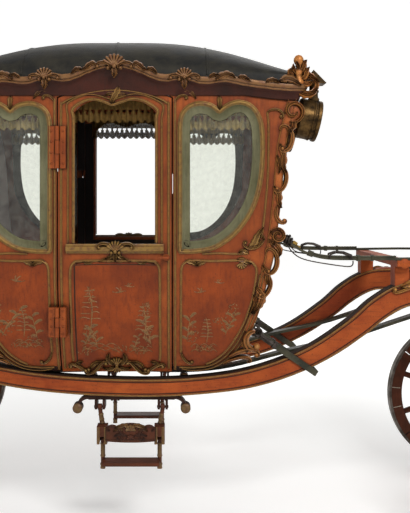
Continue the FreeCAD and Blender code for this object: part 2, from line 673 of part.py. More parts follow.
def build_doors():
    top = DOOR_CREST_Z + 2
    layer = skin(-DOOR_THICK, 0, DOOR_BOTTOM_Z, top)
    door = left_half(layer.common(along_y(DOOR_OUTLINE, 0, FAR)))
    door = door.cut(along_y(DOOR_WINDOW, 0, FAR))
    recess = skin(-DOOR_RECESS, 1, DOOR_BOTTOM_Z, top).common(along_y(DOOR_PANEL, 0, FAR))
    door = door.cut(recess)
    keep("door_left", door)
    keep("door_right", mirror_y(door))

    proud = skin(0, MOULDING_OUT, DOOR_BOTTOM_Z, top)
    window_frame = ring(DOOR_WINDOW, 0, MOULDING, 0, FAR)
    panel_frame = ring(DOOR_PANEL, 0, MOULDING, 0, FAR)
    trim = left_half(window_frame.fuse(panel_frame).common(proud))
    # A heavy sill with a shell stands under the window
    sill = box(-DOOR_WINDOW_HALF - SILL_END, DOOR_WINDOW_HALF + SILL_END, 0, BELT_HALF_WIDTH + SILL_OUT,
               SILL_Z - SILL_DEEP, SILL_Z)
    shell = fan(0, SILL_Z - SILL_DEEP / 2, SILL_SHELL_R, 7)
    shell = along_y(shell, 0, BELT_HALF_WIDTH + SILL_OUT + MOULDING_OUT)
    sill = join(sill, shell).cut(cross_section(0))
    trim = trim.fuse(left_half(sill)).removeSplitter()
    trim = trim.common(along_y(DOOR_OUTLINE, 0, FAR))
    keep("door_moulding_left", *trim.Solids)
    keep("door_moulding_right", *mirror_y(trim).Solids)

    axis_x = -DOOR_HALF - DOOR_GAP / 2
    axis_y = BELT_HALF_WIDTH + HINGE_OUT
    body = length_profile(0, BODY_BOTTOM, WALL_TOP).common(cross_section(0))
    fixed = []
    swinging = []
    for low, high in (HINGE_LOWER, HINGE_UPPER):
        third = (high - low) / 3
        inner_y = half_width(low) - WALL
        # Body leaf with the two outer knuckles and the pin
        leaf = box(axis_x - HINGE_LEAF, axis_x - HINGE_R - 1, inner_y, axis_y, low, high)
        solids = [leaf]
        for z in (low, high - third):
            solids.append(box(axis_x - HINGE_R - 1.5, axis_x, inner_y, axis_y, z, z + third)
                          .cut(box(axis_x - 0.9, axis_x + 1, 0, BELT_HALF_WIDTH, 0, 900)))
            solids.append(rod((axis_x, axis_y, z), (axis_x, axis_y, z + third), HINGE_R))
        solids.append(rod((axis_x, axis_y, low), (axis_x, axis_y, high), HINGE_PIN_R))
        fixed.append(join(*solids).cut(body))
        # Door leaf with the middle knuckle
        z0 = low + third + END_CLEARANCE
        z1 = high - third - END_CLEARANCE
        leaf = box(axis_x + HINGE_R + 1, axis_x + HINGE_LEAF, inner_y, axis_y, low, high)
        tab = box(axis_x + 1.1, axis_x + HINGE_R + 1.5, inner_y, axis_y, z0, z1)
        knuckle = rod((axis_x, axis_y, z0), (axis_x, axis_y, z1), HINGE_R)
        eye = rod((axis_x, axis_y, z0 - 1), (axis_x, axis_y, z1 + 1), HINGE_PIN_R + RUN_CLEARANCE)
        arm = box(axis_x, axis_x + 2, axis_y - 2, axis_y + 2, z0, z1)
        swinging.append(join(leaf, tab, knuckle, arm).cut(eye).cut(left_half(cross_section(0))))
    handle_x = DOOR_HALF - 9
    handle_z = BELT_Z - 4
    side = BELT_HALF_WIDTH
    rose = rod((handle_x, side, handle_z), (handle_x, side + 3, handle_z), 6)
    spindle = rod((handle_x, side, handle_z), (handle_x, side + 15, handle_z), 2.2)
    grip = rod((handle_x - 14, side + 14, handle_z), (handle_x + 6, side + 14, handle_z), 2.6)
    swinging.append(join(rose, spindle, grip))
    keep("door_fittings_left", *swinging)
    keep("door_fittings_right", *[mirror_y(s) for s in swinging])
    keep("body_hinges", *fixed, *[mirror_y(s) for s in fixed])


def build_interior():
    floor_top = BODY_BOTTOM + FLOOR
    inside = length_profile(WALL, BODY_BOTTOM - 1, WALL_TOP)
    inside = inside.common(cross_section(-WALL, BODY_BOTTOM, WALL_TOP))
    soft_room = length_profile(WALL + SOFT_GAP, BODY_BOTTOM - 1, WALL_TOP)
    chest = inside.common(box(BENCH_EDGE, FAR, -BENCH_HALF, BENCH_HALF, floor_top, BENCH_Z))
    keep("seat_boxes", chest, mirror_x(chest))
    cushion = soft_room.common(box(BENCH_EDGE - CUSHION_LIP, FAR, -BENCH_HALF, BENCH_HALF,
                                   BENCH_Z + SOFT_GAP, BENCH_Z + CUSHION_THICK))
    keep("seat_cushions", cushion, mirror_x(cushion))
    low = BENCH_Z + CUSHION_THICK + 2
    inner = length_profile(WALL + BACK_THICK, BODY_BOTTOM - 1, WALL_TOP + 5)
    back = soft_room.cut(inner).common(box(0, FAR, -BENCH_HALF, BENCH_HALF, low, FRONT_LIGHT_Z - CUSHION_LIP))
    high = CORNICE_Z - BACK_THICK
    rear_back = soft_room.cut(inner).common(box(-FAR, 0, -BENCH_HALF, BENCH_HALF, low, high))
    keep("seat_backs", back, rear_back)


# Underside of a perch from the rear bolster to the front one, with its depth there
NECK = WHEELBASE_FRONT / 100
PERCH_LINE = [
    (-WHEELBASE_REAR, PERCH_REAR_Z, PERCH_DEPTH),
    (-385, PERCH_REAR_Z - 8, PERCH_DEPTH),
    (-285, PERCH_LOW_Z + 43, PERCH_DEPTH),
    (-194, PERCH_LOW_Z + 20, PERCH_DEPTH),
    (-94, PERCH_LOW_Z + 6, PERCH_DEPTH),
    (40, PERCH_LOW_Z, PERCH_DEPTH),
    (NECK * 21.7, PERCH_LOW_Z + 5, PERCH_DEPTH),
    (NECK * 34.7, PERCH_LOW_Z + 19, PERCH_DEPTH + 2),
    (NECK * 47.5, PERCH_LOW_Z + 51, PERCH_DEPTH + 4),
    (NECK * 58.3, PERCH_FRONT_Z - 56, PERCH_FRONT_DEPTH - 5),
    (NECK * 64.3, PERCH_FRONT_Z - 24, PERCH_FRONT_DEPTH - 2),
    (NECK * 69.5, PERCH_FRONT_Z - 4, PERCH_FRONT_DEPTH - 1),
    (NECK * 76.7, PERCH_FRONT_Z, PERCH_FRONT_DEPTH),
]


def bent_bar(line, y0, y1, start_x=None, end_x=None):
    """A bar that follows a line of (x, z, depth) along its underside, level beyond its ends."""
    lower = [(x, z) for x, z, depth in line]
    upper = []
    for i, (x, z, depth) in enumerate(line):
        if i in (0, len(line) - 1):
            upper.append((x, z + depth))
            continue
        xa, za = lower[i - 1]
        xb, zb = lower[i + 1]
        length = math.hypot(xb - xa, zb - za)
        upper.append((x - depth * (zb - za) / length, z + depth * (xb - xa) / length))
    edges = [curve([(x, 0, z) for x, z in lower])]
    corners = [V(lower[-1][0], 0, lower[-1][1])]
    if end_x is not None:
        corners += [V(end_x, 0, lower[-1][1]), V(end_x, 0, upper[-1][1])]
    corners.append(V(upper[-1][0], 0, upper[-1][1]))
    edges += [Part.LineSegment(a, b).toShape() for a, b in zip(corners, corners[1:])]
    edges.append(curve([(x, 0, z) for x, z in reversed(upper)]))
    corners = [V(upper[0][0], 0, upper[0][1])]
    if start_x is not None:
        corners += [V(start_x, 0, upper[0][1]), V(start_x, 0, lower[0][1])]
    corners.append(V(lower[0][0], 0, lower[0][1]))
    edges += [Part.LineSegment(a, b).toShape() for a, b in zip(corners, corners[1:])]
    return along_y(Part.Wire(edges), y0, y1)


def perch(inner=0.0):
    return bent_bar(PERCH_LINE, PERCH_OUTER - PERCH_WIDTH - inner, PERCH_OUTER + inner,
                    -PERCH_REAR_END, PERCH_FRONT_END)


def axle(x, z):
    """An iron axle: square bar, round arms with collars, and a nut outside each nave."""
    inner_end = HALF_TRACK - NAVE_LENGTH / 2
    outer_end = HALF_TRACK + NAVE_LENGTH / 2
    half = AXLE_BAR / 2
    collar = END_CLEARANCE + COLLAR_LENGTH
    bar = box(x - half, x + half, -inner_end + collar, inner_end - collar, z - half, z + half)
    solids = [bar]
    for sign in (1, -1):
        start = sign * (inner_end - collar - 1)
        stop = sign * (inner_end - END_CLEARANCE)
        solids.append(rod((x, start, z), (x, stop, z), half + COLLAR_OVER))
        cap = sign * (outer_end + END_CLEARANCE)
        solids.append(rod((x, start, z), (x, cap + sign, z), AXLE_ARM_R))
        solids.append(rod((x, cap, z), (x, cap + sign * HUB_CAP_LENGTH, z), NAVE_R * 0.55, NAVE_R * 0.4))
    return join(*solids)


def build_undercarriage():
    left = perch()
    keep("perch_left", left)
    keep("perch_right", mirror_y(left))
    perches = Part.makeCompound(both_sides(left))

    # Rear axle and the bolster that carries the perches over it
    keep("rear_axle", axle(-WHEELBASE_REAR, REAR_WHEEL_R))
    bar_top = REAR_WHEEL_R + AXLE_BAR / 2
    x = -WHEELBASE_REAR
    block = box(x - BOLSTER_HALF, x + BOLSTER_HALF, -BOLSTER_REACH, BOLSTER_REACH, bar_top, PERCH_REAR_Z)
    centre_z = PERCH_REAR_Z + BOLSTER_SCOOP_R - BOLSTER_SCOOP
    scoop = rod((x - BOLSTER_HALF - 1, 0, centre_z), (x + BOLSTER_HALF + 1, 0, centre_z), BOLSTER_SCOOP_R)
    keep("rear_bolster", block.cut(scoop).cut(perches))

    # Front bolster over the upper turning plate
    plate_top = PLATE_Z + 2 * PLATE_THICK + END_CLEARANCE
    x = WHEELBASE_FRONT
    bore = rod((x, 0, PLATE_Z), (x, 0, PERCH_FRONT_Z + 1), KINGPIN_R + RUN_CLEARANCE)
    block = box(x - BOLSTER_HALF, x + BOLSTER_HALF, -BOLSTER_REACH, BOLSTER_REACH, plate_top, PERCH_FRONT_Z)
    keep("front_bolster", block.cut(bore).cut(perches))
    ring_out = rod((x, 0, plate_top - PLATE_THICK), (x, 0, plate_top), PLATE_R)
    ring_in = rod((x, 0, plate_top - PLATE_THICK - 1), (x, 0, plate_top + 1), PLATE_R - PLATE_WIDTH)
    keep("upper_turning_plate", ring_out.cut(ring_in))

    # Standards carry the crossbars that the check straps run over
    inner = PERCH_OUTER - PERCH_WIDTH
    cross_top = CHECK_Z - CHECK_THICK / 2 - SOFT_GAP
    bar_half = CHECK_Y + CHECK_WIDTH / 2 + 2
    perch_top = PERCH_REAR_Z + PERCH_DEPTH

    def crossbar(x):
        x0 = x - STANDARD_HALF
        x1 = x + STANDARD_HALF
        under = CHECK_Z - CROSSBAR_DEEP
        bar = box(x0, x1, -bar_half, bar_half, under, cross_top)
        post = box(x0, x1, inner, PERCH_OUTER, perch_top, under + 1)
        posts = [max(p.cut(perches).Solids, key=lambda s: s.BoundBox.ZMax) for p in both_sides(post)]
        return join(bar, *posts)

    keep("front_crossbar", crossbar(FRONT_CROSS_X))
    keep("rear_crossbar", crossbar(-REAR_CROSS_X))
    # The footmen stand on a board behind the rear crossbar
    x0 = -PERCH_REAR_END - PLATFORM_OVERHANG
    board = box(x0, -REAR_WINCH_X - 14, -PERCH_OUTER, PERCH_OUTER, perch_top, perch_top + PLATFORM_THICK)
    keep("footmen_platform", board)


def brace_line():
    """Underside of a main brace, from the rear winch under the body to the front winch."""
    level = BODY_BOTTOM - SOFT_GAP - BRACE_THICK
    start = BOTTOM_HALF_LENGTH + 10

    def side(winch_x, winch_z, stations):
        end_z = winch_z - WINCH_R - SOFT_GAP - BRACE_THICK
        line = [(start, level)]
        line += [(start + (winch_x - start) * share, level + rise) for share, rise in stations]
        return line + [(winch_x, end_z)]

    front = side(FRONT_WINCH_X, FRONT_WINCH_Z,
                 ((0.122, 9), (0.273, 27), (0.529, 53), (0.673, 74), (0.844, 99)))
    rear = side(REAR_WINCH_X, REAR_WINCH_Z, ((0.147, 9), (0.329, 27), (0.636, 53), (0.81, 74)))
    rear = [(-x, z) for x, z in rear]
    points = list(reversed(rear)) + [(0, level)] + front
    return [(x, z, BRACE_THICK) for x, z in points]


def winch_eye(x, z, y):
    """The brace's end wound round a winch."""
    y0 = y - BRACE_WIDTH / 2
    y1 = y + BRACE_WIDTH / 2
    outer = rod((x, y0, z), (x, y1, z), WINCH_R + SOFT_GAP + BRACE_THICK)
    return outer.cut(rod((x, y0 - 1, z), (x, y1 + 1, z), WINCH_R + SOFT_GAP))


def build_suspension():
    y0 = BRACE_Y - BRACE_WIDTH / 2
    y1 = BRACE_Y + BRACE_WIDTH / 2
    strap = bent_bar(brace_line(), y0, y1)
    strap = join(strap, winch_eye(FRONT_WINCH_X, FRONT_WINCH_Z, BRACE_Y),
                 winch_eye(-REAR_WINCH_X, REAR_WINCH_Z, BRACE_Y))
    for x, z in ((FRONT_WINCH_X, FRONT_WINCH_Z), (-REAR_WINCH_X, REAR_WINCH_Z)):
        strap = strap.cut(rod((x, y0 - 1, z), (x, y1 + 1, z), WINCH_R + SOFT_GAP))
    keep("main_braces", *both_sides(strap))

    inner = PERCH_OUTER - PERCH_WIDTH
    front = rod((FRONT_WINCH_X, -inner, FRONT_WINCH_Z), (FRONT_WINCH_X, inner, FRONT_WINCH_Z), WINCH_R)
    rear = rod((-REAR_WINCH_X, -inner, REAR_WINCH_Z), (-REAR_WINCH_X, inner, REAR_WINCH_Z), WINCH_R)
    perch_top = PERCH_REAR_Z + PERCH_DEPTH
    cheek = box(-REAR_WINCH_X - 12, -REAR_WINCH_X + 12, inner, inner + 10, perch_top, REAR_WINCH_Z + 12)
    keep("brace_winches", front, join(rear, *both_sides(cheek)))

    # Upper check straps, from a staple on each end of the body to the crossbars and the box
    def check(points):
        line = [(x, z, CHECK_THICK) for x, z in points]
        return bent_bar(line, CHECK_Y - CHECK_WIDTH / 2, CHECK_Y + CHECK_WIDTH / 2)

    over_bar = CHECK_Z - CHECK_THICK / 2
    start_x = CHECK_START_X
    fall = [(start_x, CHECK_START_Z), (start_x + 26, CHECK_START_Z - 20),
            (start_x + 58, over_bar + 3), (start_x + 100, over_bar)]
    front_strap = check(fall + [(FRONT_CROSS_X, over_bar), (CHECK_FRONT_END, over_bar)])
    rear_end = [(-REAR_CROSS_X - 14, over_bar), (-REAR_CROSS_X + 60, over_bar)]
    rear_strap = check(rear_end + [(-x, z) for x, z in reversed(fall)])

    # Collar straps hold the body's lower corners to the perches
    def collar(sign):
        top = V(COLLAR_TOP_X, 0, COLLAR_TOP_Z)
        low = V(COLLAR_LOW_X, 0, COLLAR_LOW_Z)
        length = (low - top).Length
        angle = math.degrees(math.atan2(low.z - top.z, low.x - top.x))
        half = COLLAR_WIDTH / 2
        outer = PERCH_OUTER + SOFT_GAP + LOOP_THICK
        inner = PERCH_OUTER - PERCH_WIDTH - SOFT_GAP - LOOP_THICK
        band = box(0, length, inner, outer, -half, half)
        room = box(LOOP_THICK * 3, length - LOOP_THICK, inner + LOOP_THICK, outer - LOOP_THICK,
                   -half - 1, half + 1)
        loop = band.cut(room)
        loop.rotate(V(0, 0, 0), V(0, 1, 0), -angle)
        loop.translate(top)
        return loop if sign > 0 else mirror_x(loop)

    straps = [front_strap, rear_strap, collar(1), collar(-1)]
    keep("check_straps", *[s for strap in straps for s in both_sides(strap)])

    # Irons on the body that the straps hook to
    body = length_profile(0, BODY_BOTTOM, WALL_TOP).common(cross_section(0))
    staple = box(start_x - 40, start_x - 1, CHECK_Y - CHECK_WIDTH / 2 - 2, CHECK_Y + CHECK_WIDTH / 2 + 2,
                 CHECK_START_Z - 5, CHECK_START_Z + 7)
    lug = box(COLLAR_TOP_X - 40, COLLAR_TOP_X - COLLAR_WIDTH / 2 + 1,
              PERCH_OUTER - PERCH_WIDTH + 4, PERCH_OUTER - 4, COLLAR_TOP_Z - 4, COLLAR_TOP_Z + 14)
    irons = []
    for iron in (staple.cut(body), lug.cut(body)):
        for piece in (iron, mirror_x(iron)):
            irons += both_sides(piece)
    keep("body_irons", *irons)


def build_steps():
    perches = Part.makeCompound(both_sides(perch()))
    middle = PERCH_OUTER - PERCH_WIDTH / 2
    half = PERCH_WIDTH / 2 - 5
    pivot_y = PERCH_OUTER + STEP_PIVOT_OUT
    ear_half = STEP_EAR / 2
    ear_out = STEP_LEG_R + STEP_EAR_GAP + ear_half
    pin_half = ear_out + ear_half + 1
    leg_sides = (-1, 1)

    def cross_pin(x, reach, z):
        return rod((x - reach, pivot_y, z), (x + reach, pivot_y, z), STEP_PIN_R)

    # A flat iron below the perch; its ends curl down to a ball, and its ears hold the step's pins
    arm_r = STEP_ARM / 5 + STEP_ARM_WIDTH / 2
    arm_x = STEP_ARM - STEP_ARM / 5
    arm_z = PERCH_LOW_Z - arm_r
    solids = [box(-arm_x, arm_x, middle - half, middle + half,
                  PERCH_LOW_Z - STEP_ARM_WIDTH - 1, PERCH_LOW_Z + 10)]
    for side in leg_sides:
        arm = along_y(c_scroll(arm_x, arm_z, arm_r, STEP_ARM_WIDTH, 0, 90), middle - half, middle + half)
        solids.append(arm if side > 0 else mirror_x(arm))
        ball = (side * STEP_ARM, middle - half, arm_z)
        solids.append(rod(ball, (ball[0], middle + half, arm_z), STEP_BALL_R))
        x = side * STEP_PIN_X
        for end in (-ear_out, ear_out):
            solids.append(box(x + end - ear_half, x + end + ear_half, middle - half, pivot_y + STEP_EAR,
                              STEP_PIVOT_Z - STEP_EAR, PERCH_LOW_Z - STEP_ARM_WIDTH))
        solids.append(cross_pin(x, pin_half, STEP_PIVOT_Z))
    bracket = join(*solids)
    bracket.translate(V(STEP_X, 0, 0))
    keep("step_brackets", *both_sides(bracket.cut(perches)))

    def eye(x, z):
        return rod((x - STEP_LEG_R, pivot_y, z), (x + STEP_LEG_R, pivot_y, z), STEP_LEG_R + 1.5)

    def pin_holes(shape, z):
        hole = rod((-STEP_ARM, pivot_y, z), (STEP_ARM, pivot_y, z), STEP_PIN_R + RUN_CLEARANCE)
        return shape.cut(hole)

    def tread(z, x_half):
        y0 = pivot_y - STEP_TREAD_IN
        return box(-x_half, x_half, y0, y0 + STEP_TREAD_DEPTH, z - STEP_TREAD_THICK, z)

    # Upper step: a tread behind a board with a carved crest, between cheeks on two legs
    front_y = pivot_y - STEP_TREAD_IN + STEP_TREAD_DEPTH
    low = UPPER_TREAD_Z - STEP_TREAD_THICK
    shoulder = STEP_CREST_Z - 8
    crest = outline_xz(
        (-STEP_TREAD_HALF, low), (0, low - 2, STEP_TREAD_HALF, low), (STEP_TREAD_HALF, shoulder),
        (STEP_TREAD_HALF * 0.85, STEP_CREST_Z - 3, STEP_TREAD_HALF * 0.65, STEP_CREST_Z - 4),
        (0, STEP_CREST_Z + 2, -STEP_TREAD_HALF * 0.65, STEP_CREST_Z - 4),
        (-STEP_TREAD_HALF * 0.85, STEP_CREST_Z - 3, -STEP_TREAD_HALF, shoulder))
    solids = [tread(UPPER_TREAD_Z, STEP_TREAD_HALF), along_y(crest, front_y - STEP_TREAD_THICK, front_y)]
    fold_pins = []
    for side in leg_sides:
        x = side * STEP_LEG_X
        top = (side * STEP_PIN_X, pivot_y, STEP_PIVOT_Z)
        solids += [rod((x, pivot_y, UPPER_TREAD_Z + 2), top, STEP_LEG_R), eye(top[0], STEP_PIVOT_Z)]
        solids.append(box(x - STEP_CHEEK, x + STEP_CHEEK, pivot_y - STEP_EAR, front_y - 4,
                          UPPER_TREAD_Z, STEP_CHEEK_TOP))
        for end in (-ear_out, ear_out):
            solids.append(box(x + end - ear_half, x + end + ear_half, pivot_y - STEP_EAR, front_y - 4,
                              STEP_FOLD_Z - STEP_EAR, UPPER_TREAD_Z))
        fold_pins.append(cross_pin(x, STEP_CHEEK, STEP_FOLD_Z))
    upper = pin_holes(join(*solids), STEP_PIVOT_Z)
    upper = join(upper, *fold_pins)

    # Lower step: a plain tread on two legs that hang from the cheeks' pins
    solids = [tread(LOWER_TREAD_Z, STEP_LEG_X)]
    for side in leg_sides:
        x = side * STEP_LEG_X
        solids += [rod((x, pivot_y, STEP_FOOT_Z), (x, pivot_y, STEP_FOLD_Z), STEP_LEG_R), eye(x, STEP_FOLD_Z)]
    lower = pin_holes(join(*solids), STEP_FOLD_Z)
    for name, step in (("upper_step", upper), ("lower_step", lower)):
        step.translate(V(STEP_X, 0, 0))
        keep(name + "_left", step)
        keep(name + "_right", mirror_y(step))


def build_fore_carriage():
    x = WHEELBASE_FRONT
    z = FRONT_WHEEL_R
    keep("front_axle", axle(x, z))
    bar_top = z + AXLE_BAR / 2
    bed = box(x - 15, x + 15, -BOLSTER_REACH, BOLSTER_REACH, bar_top, FUTCHELL_Z)
    keep("front_axle_bed", bed)

    y0 = FUTCHELL_Y - FUTCHELL_W / 2
    y1 = FUTCHELL_Y + FUTCHELL_W / 2
    top = FUTCHELL_Z + FUTCHELL_H
    rear_x = x - FUTCHELL_REAR
    bars = both_sides(box(rear_x, SPLINTER_X + 12, y0, y1, FUTCHELL_Z, top))
    sway = box(rear_x - 14, rear_x, -SWAY_HALF, SWAY_HALF, FUTCHELL_Z, top)
    middle_r = PLATE_R - PLATE_WIDTH / 2
    crosses = []
    for cross_x in (x - middle_r, x + middle_r):
        crosses.append(box(cross_x - CROSS_HALF, cross_x + CROSS_HALF, -y0, y0, FUTCHELL_Z, top))
        crosses.append(rod((cross_x, 0, top - 1), (cross_x, 0, PLATE_Z), CROSS_HALF - 1))
    futchells = join(*bars, sway, *crosses)
    keep("futchells", futchells)

    block = box(x - 18, x + 18, -FORE_BOLSTER_REACH, FORE_BOLSTER_REACH, FUTCHELL_Z, PLATE_Z)
    for bar in both_sides(box(rear_x - 1, SPLINTER_X + 12, y0, y1, FUTCHELL_Z - 1, top)):
        block = block.cut(bar)
    keep("fore_bolster", block)
    king_top = PERCH_FRONT_Z + 10
    king = rod((x, 0, PLATE_Z), (x, 0, king_top), KINGPIN_R)
    head = rod((x, 0, PERCH_FRONT_Z + END_CLEARANCE), (x, 0, king_top), KINGPIN_HEAD_R, KINGPIN_HEAD_R - 4)
    keep("kingpin", join(king, head))
    ring_out = rod((x, 0, PLATE_Z), (x, 0, PLATE_Z + PLATE_THICK), PLATE_R)
    ring_in = rod((x, 0, PLATE_Z - 1), (x, 0, PLATE_Z + PLATE_THICK + 1), PLATE_R - PLATE_WIDTH)
    keep("lower_turning_plate", ring_out.cut(ring_in))

    bar = box(SPLINTER_X - 12, SPLINTER_X + 12, -SPLINTER_HALF, SPLINTER_HALF, top, top + 20)
    bolts = []
    for y in (SPLINTER_HALF - TRACE_BOLT_IN, FUTCHELL_Y * 2):
        for sign in (1, -1):
            foot = (SPLINTER_X, sign * y, top + 18)
            bolts.append(rod(foot, (SPLINTER_X, sign * y, top + 34), TRACE_BOLT_R))
    keep("splinter_bar", join(bar, *bolts))

    pole_x = x + middle_r + CROSS_HALF
    centre_z = (FUTCHELL_Z + top) / 2
    square_end = SPLINTER_X + 40
    pole_end = SPLINTER_X + POLE_LENGTH
    square = box(pole_x, square_end, -y0, y0, FUTCHELL_Z, top)
    shaft = rod((square_end - 2, 0, centre_z), (pole_end - POLE_CAP + 4, 0, centre_z), POLE_R, POLE_TIP_R)
    tip = rod((pole_end - POLE_CAP, 0, centre_z), (pole_end, 0, centre_z), POLE_R)
    keep("pole", join(square, shaft, tip))


def wheel(x, z, radius, spokes, side):
    """A spoked wheel and its iron tyre, side is +1 on the coach's left."""
    y = side * HALF_TRACK
    rim_out = radius - TYRE_THICK
    rim_in = rim_out - FELLOE_DEPTH
    half = FELLOE_WIDTH / 2

    def disc(r, half_width_y):
        return rod((x, y - half_width_y, z), (x, y + half_width_y, z), r)

    rim = disc(rim_out, half).cut(disc(rim_in, half + 1))
    step = 360.0 / spokes
    slots = []
    for i in range(spokes // 2):
        slot = box(x - FELLOE_JOINT / 2, x + FELLOE_JOINT / 2, y - half - 1, y + half + 1,
                   z + rim_in - 2, z + radius)
        slots.append(turned(slot, step * (2 * i + 0.5), (x, y, z), (0, 1, 0)))
    rim = rim.cut(Part.makeCompound(slots))
    bars = []
    for i in range(spokes):
        spoke = rod((x, y, z + NAVE_R - 6), (x, y, z + rim_in + 3), SPOKE_R_HUB, SPOKE_R_RIM)
        bars.append(turned(spoke, step * (i + 1), (x, y, z), (0, 1, 0)))
    nave = nave_solid(x, y, z, side)
    keep_solid = join(nave, rim, *bars)
    bore = disc(AXLE_ARM_R + RUN_CLEARANCE, NAVE_LENGTH)
    tyre = rod((x, y - TYRE_WIDTH / 2, z), (x, y + TYRE_WIDTH / 2, z), radius).cut(disc(rim_out, TYRE_WIDTH))
    return keep_solid.cut(bore), tyre


def nave_solid(x, y, z, side):
    """A turned nave, fuller in the middle where the spokes enter."""
    half = NAVE_LENGTH / 2
    profile = [(-half, NAVE_R * 0.72), (-half + 8, NAVE_R * 0.8), (-11, NAVE_R), (11, NAVE_R),
               (half - 10, NAVE_R * 0.68), (half, NAVE_R * 0.6)]
    points = [V(0, side * a, r) for a, r in profile]
    points = [V(0, side * -half, 0)] + points + [V(0, side * half, 0)]
    edges = [Part.LineSegment(a, b).toShape() for a, b in zip(points, points[1:] + points[:1])]
    face = Part.Face(Part.Wire(edges))
    solid = face.revolve(V(0, 0, 0), V(0, 1, 0), 360)
    solid.translate(V(x, y, z))
    return solid


def build_wheels():
    places = (("front", WHEELBASE_FRONT, FRONT_WHEEL_R, FRONT_SPOKES),
              ("rear", -WHEELBASE_REAR, REAR_WHEEL_R, REAR_SPOKES))
    for end, x, radius, spokes in places:
        for side_name, side in (("left", 1), ("right", -1)):
            wood, tyre = wheel(x, radius, radius, spokes, side)
            keep(f"{end}_wheel_{side_name}", wood)
            keep(f"{end}_tyre_{side_name}", tyre)


def build_box_seat():
    base = PERCH_FRONT_Z + PERCH_FRONT_DEPTH
    x = BOX_SEAT_X
    side = outline_xz(
        (x - 70, base), (x + 72, base), (x + 40, base + 50, x + 56, BOX_SEAT_Z),
        (x - 56, BOX_SEAT_Z), (x - 36, base + 50, x - 70, base))
    cheek = along_y(side, PERCH_OUTER - PERCH_WIDTH + 4, PERCH_OUTER - 4)
    opening = rod((x + 2, 50, base + 62), (x + 2, 200, base + 62), 24)
    board = box(x - BOX_SEAT_HALF_X, x + BOX_SEAT_HALF_X, -PERCH_OUTER, PERCH_OUTER, BOX_SEAT_Z,
                BOX_SEAT_Z + SEAT_BOARD)
    keep("box_seat", join(board, *both_sides(cheek.cut(opening))))
    cushion = box(x - BOX_SEAT_HALF_X + 3, x + BOX_SEAT_HALF_X - 3, -BOX_SEAT_HALF_Y, BOX_SEAT_HALF_Y,
                  BOX_SEAT_Z + SEAT_BOARD + SOFT_GAP, BOX_SEAT_Z + SEAT_BOARD + CUSHION_THICK)
    keep("box_cushion", cushion)
    # The footboard slopes up away from the box; each iron is a bar under it and a strut to the perch's end
    low = V(FOOTBOARD_X - 56, 0, base + 29)
    high = V(FOOTBOARD_X + 34, 0, base + 99)
    along = (high - low).normalize()
    up = V(-along.z, 0, along.x)

    def slab(bottom, top, start=low, end=high):
        corners = [start + up * bottom, end + up * bottom, end + up * top, start + up * top]
        return outline_xz(*[(c.x, c.z) for c in corners])

    half = PERCH_OUTER - 8
    board = along_y(slab(0, FOOTBOARD_THICK), -half, half)
    keep("footboard", board)
    y = PERCH_OUTER - PERCH_WIDTH / 2
    bar = along_y(slab(-IRON_THICK, 0, low + along * 8, high - along * 10), y - 5, y + 5)
    foot = low + along * 40 - up * IRON_THICK / 2
    strut = rod((PERCH_FRONT_END - 4, y, base - 14), (foot.x, y, foot.z), IRON_THICK / 2)
    iron = join(bar, strut).cut(perch()).cut(board)
    keep("footboard_irons", *both_sides(iron))


def build_lamps_and_ornaments():
    direction = V(math.cos(math.radians(LAMP_TILT)), 0, -math.sin(math.radians(LAMP_TILT)))
    centre = V(LAMP_X, LAMP_Y, LAMP_Z)
    start = centre - direction * (LAMP_DEPTH / 2)
    end = centre + direction * (LAMP_DEPTH / 2)
    drum = rod(start, end, LAMP_R)
    rim = rod(end - direction * 2 * LAMP_RIM, end + direction * LAMP_RIM, LAMP_R + LAMP_RIM)
    chimney_x = LAMP_X + CHIMNEY_X
    hood_z = LAMP_Z + LAMP_HOOD_TOP - LAMP_HOOD_RISE
    chimney = rod((chimney_x, LAMP_Y, LAMP_Z), (chimney_x, LAMP_Y, hood_z + 1), CHIMNEY_R)
    hood = rod((chimney_x, LAMP_Y, hood_z), (chimney_x, LAMP_Y, hood_z + LAMP_HOOD_RISE), LAMP_HOOD_R, 2)
    arm = rod((LAMP_X - LAMP_ARM, LAMP_Y, LAMP_Z), (LAMP_X, LAMP_Y, LAMP_Z), LAMP_ARM_R)
    body = length_profile(0, BODY_BOTTOM, WALL_TOP).common(cross_section(0))
    lamp = join(drum, rim, chimney, hood, arm).cut(body).cut(PARTS["cornice"])
    keep("lamps", *both_sides(lamp))

    # At each corner a leafy finial with a ball stands on the rail, and a volute leans out from it
    x = END_TOP_X
    y = BELT_HALF_WIDTH + VOLUTE_R / 2
    foot = CORNICE_Z + CORNICE_OUT
    ball_z = FINIAL_TOP
    solids = [rod((x, y, foot), (x, y, ball_z), FINIAL_R, FINIAL_R / 2),
              Part.makeSphere(FINIAL_BALL_R, V(x, y, ball_z))]
    leaves = ((foot + 2, -14, foot + 17), (foot + 6, 14, foot + 25), (foot + 12, -9, foot + 29))
    for root_z, tip_x, tip_z in leaves:
        leaf = lens(x, root_z, x + tip_x, tip_z, FINIAL_R + 1)
        solids.append(along_y(leaf, y - FINIAL_R / 2, y + FINIAL_R / 2))
    finial = join(*solids)
    volute_x = END_TOP_X + CORNICE_OUT + VOLUTE_R / 2
    volute = along_y(c_scroll(volute_x, foot, VOLUTE_R, VOLUTE_WIDTH, -150, 150), y - VOLUTE_THICK, y)
    kept = []
    for solid in (finial, volute.cut(finial)):
        for name in ("cornice", "roof", "corner_carvings"):
            solid = solid.cut(PARTS[name])
        main = max(solid.Solids, key=lambda s: s.Volume)
        kept += both_sides(main) + both_sides(mirror_x(main))
    keep("roof_ornaments", *kept)


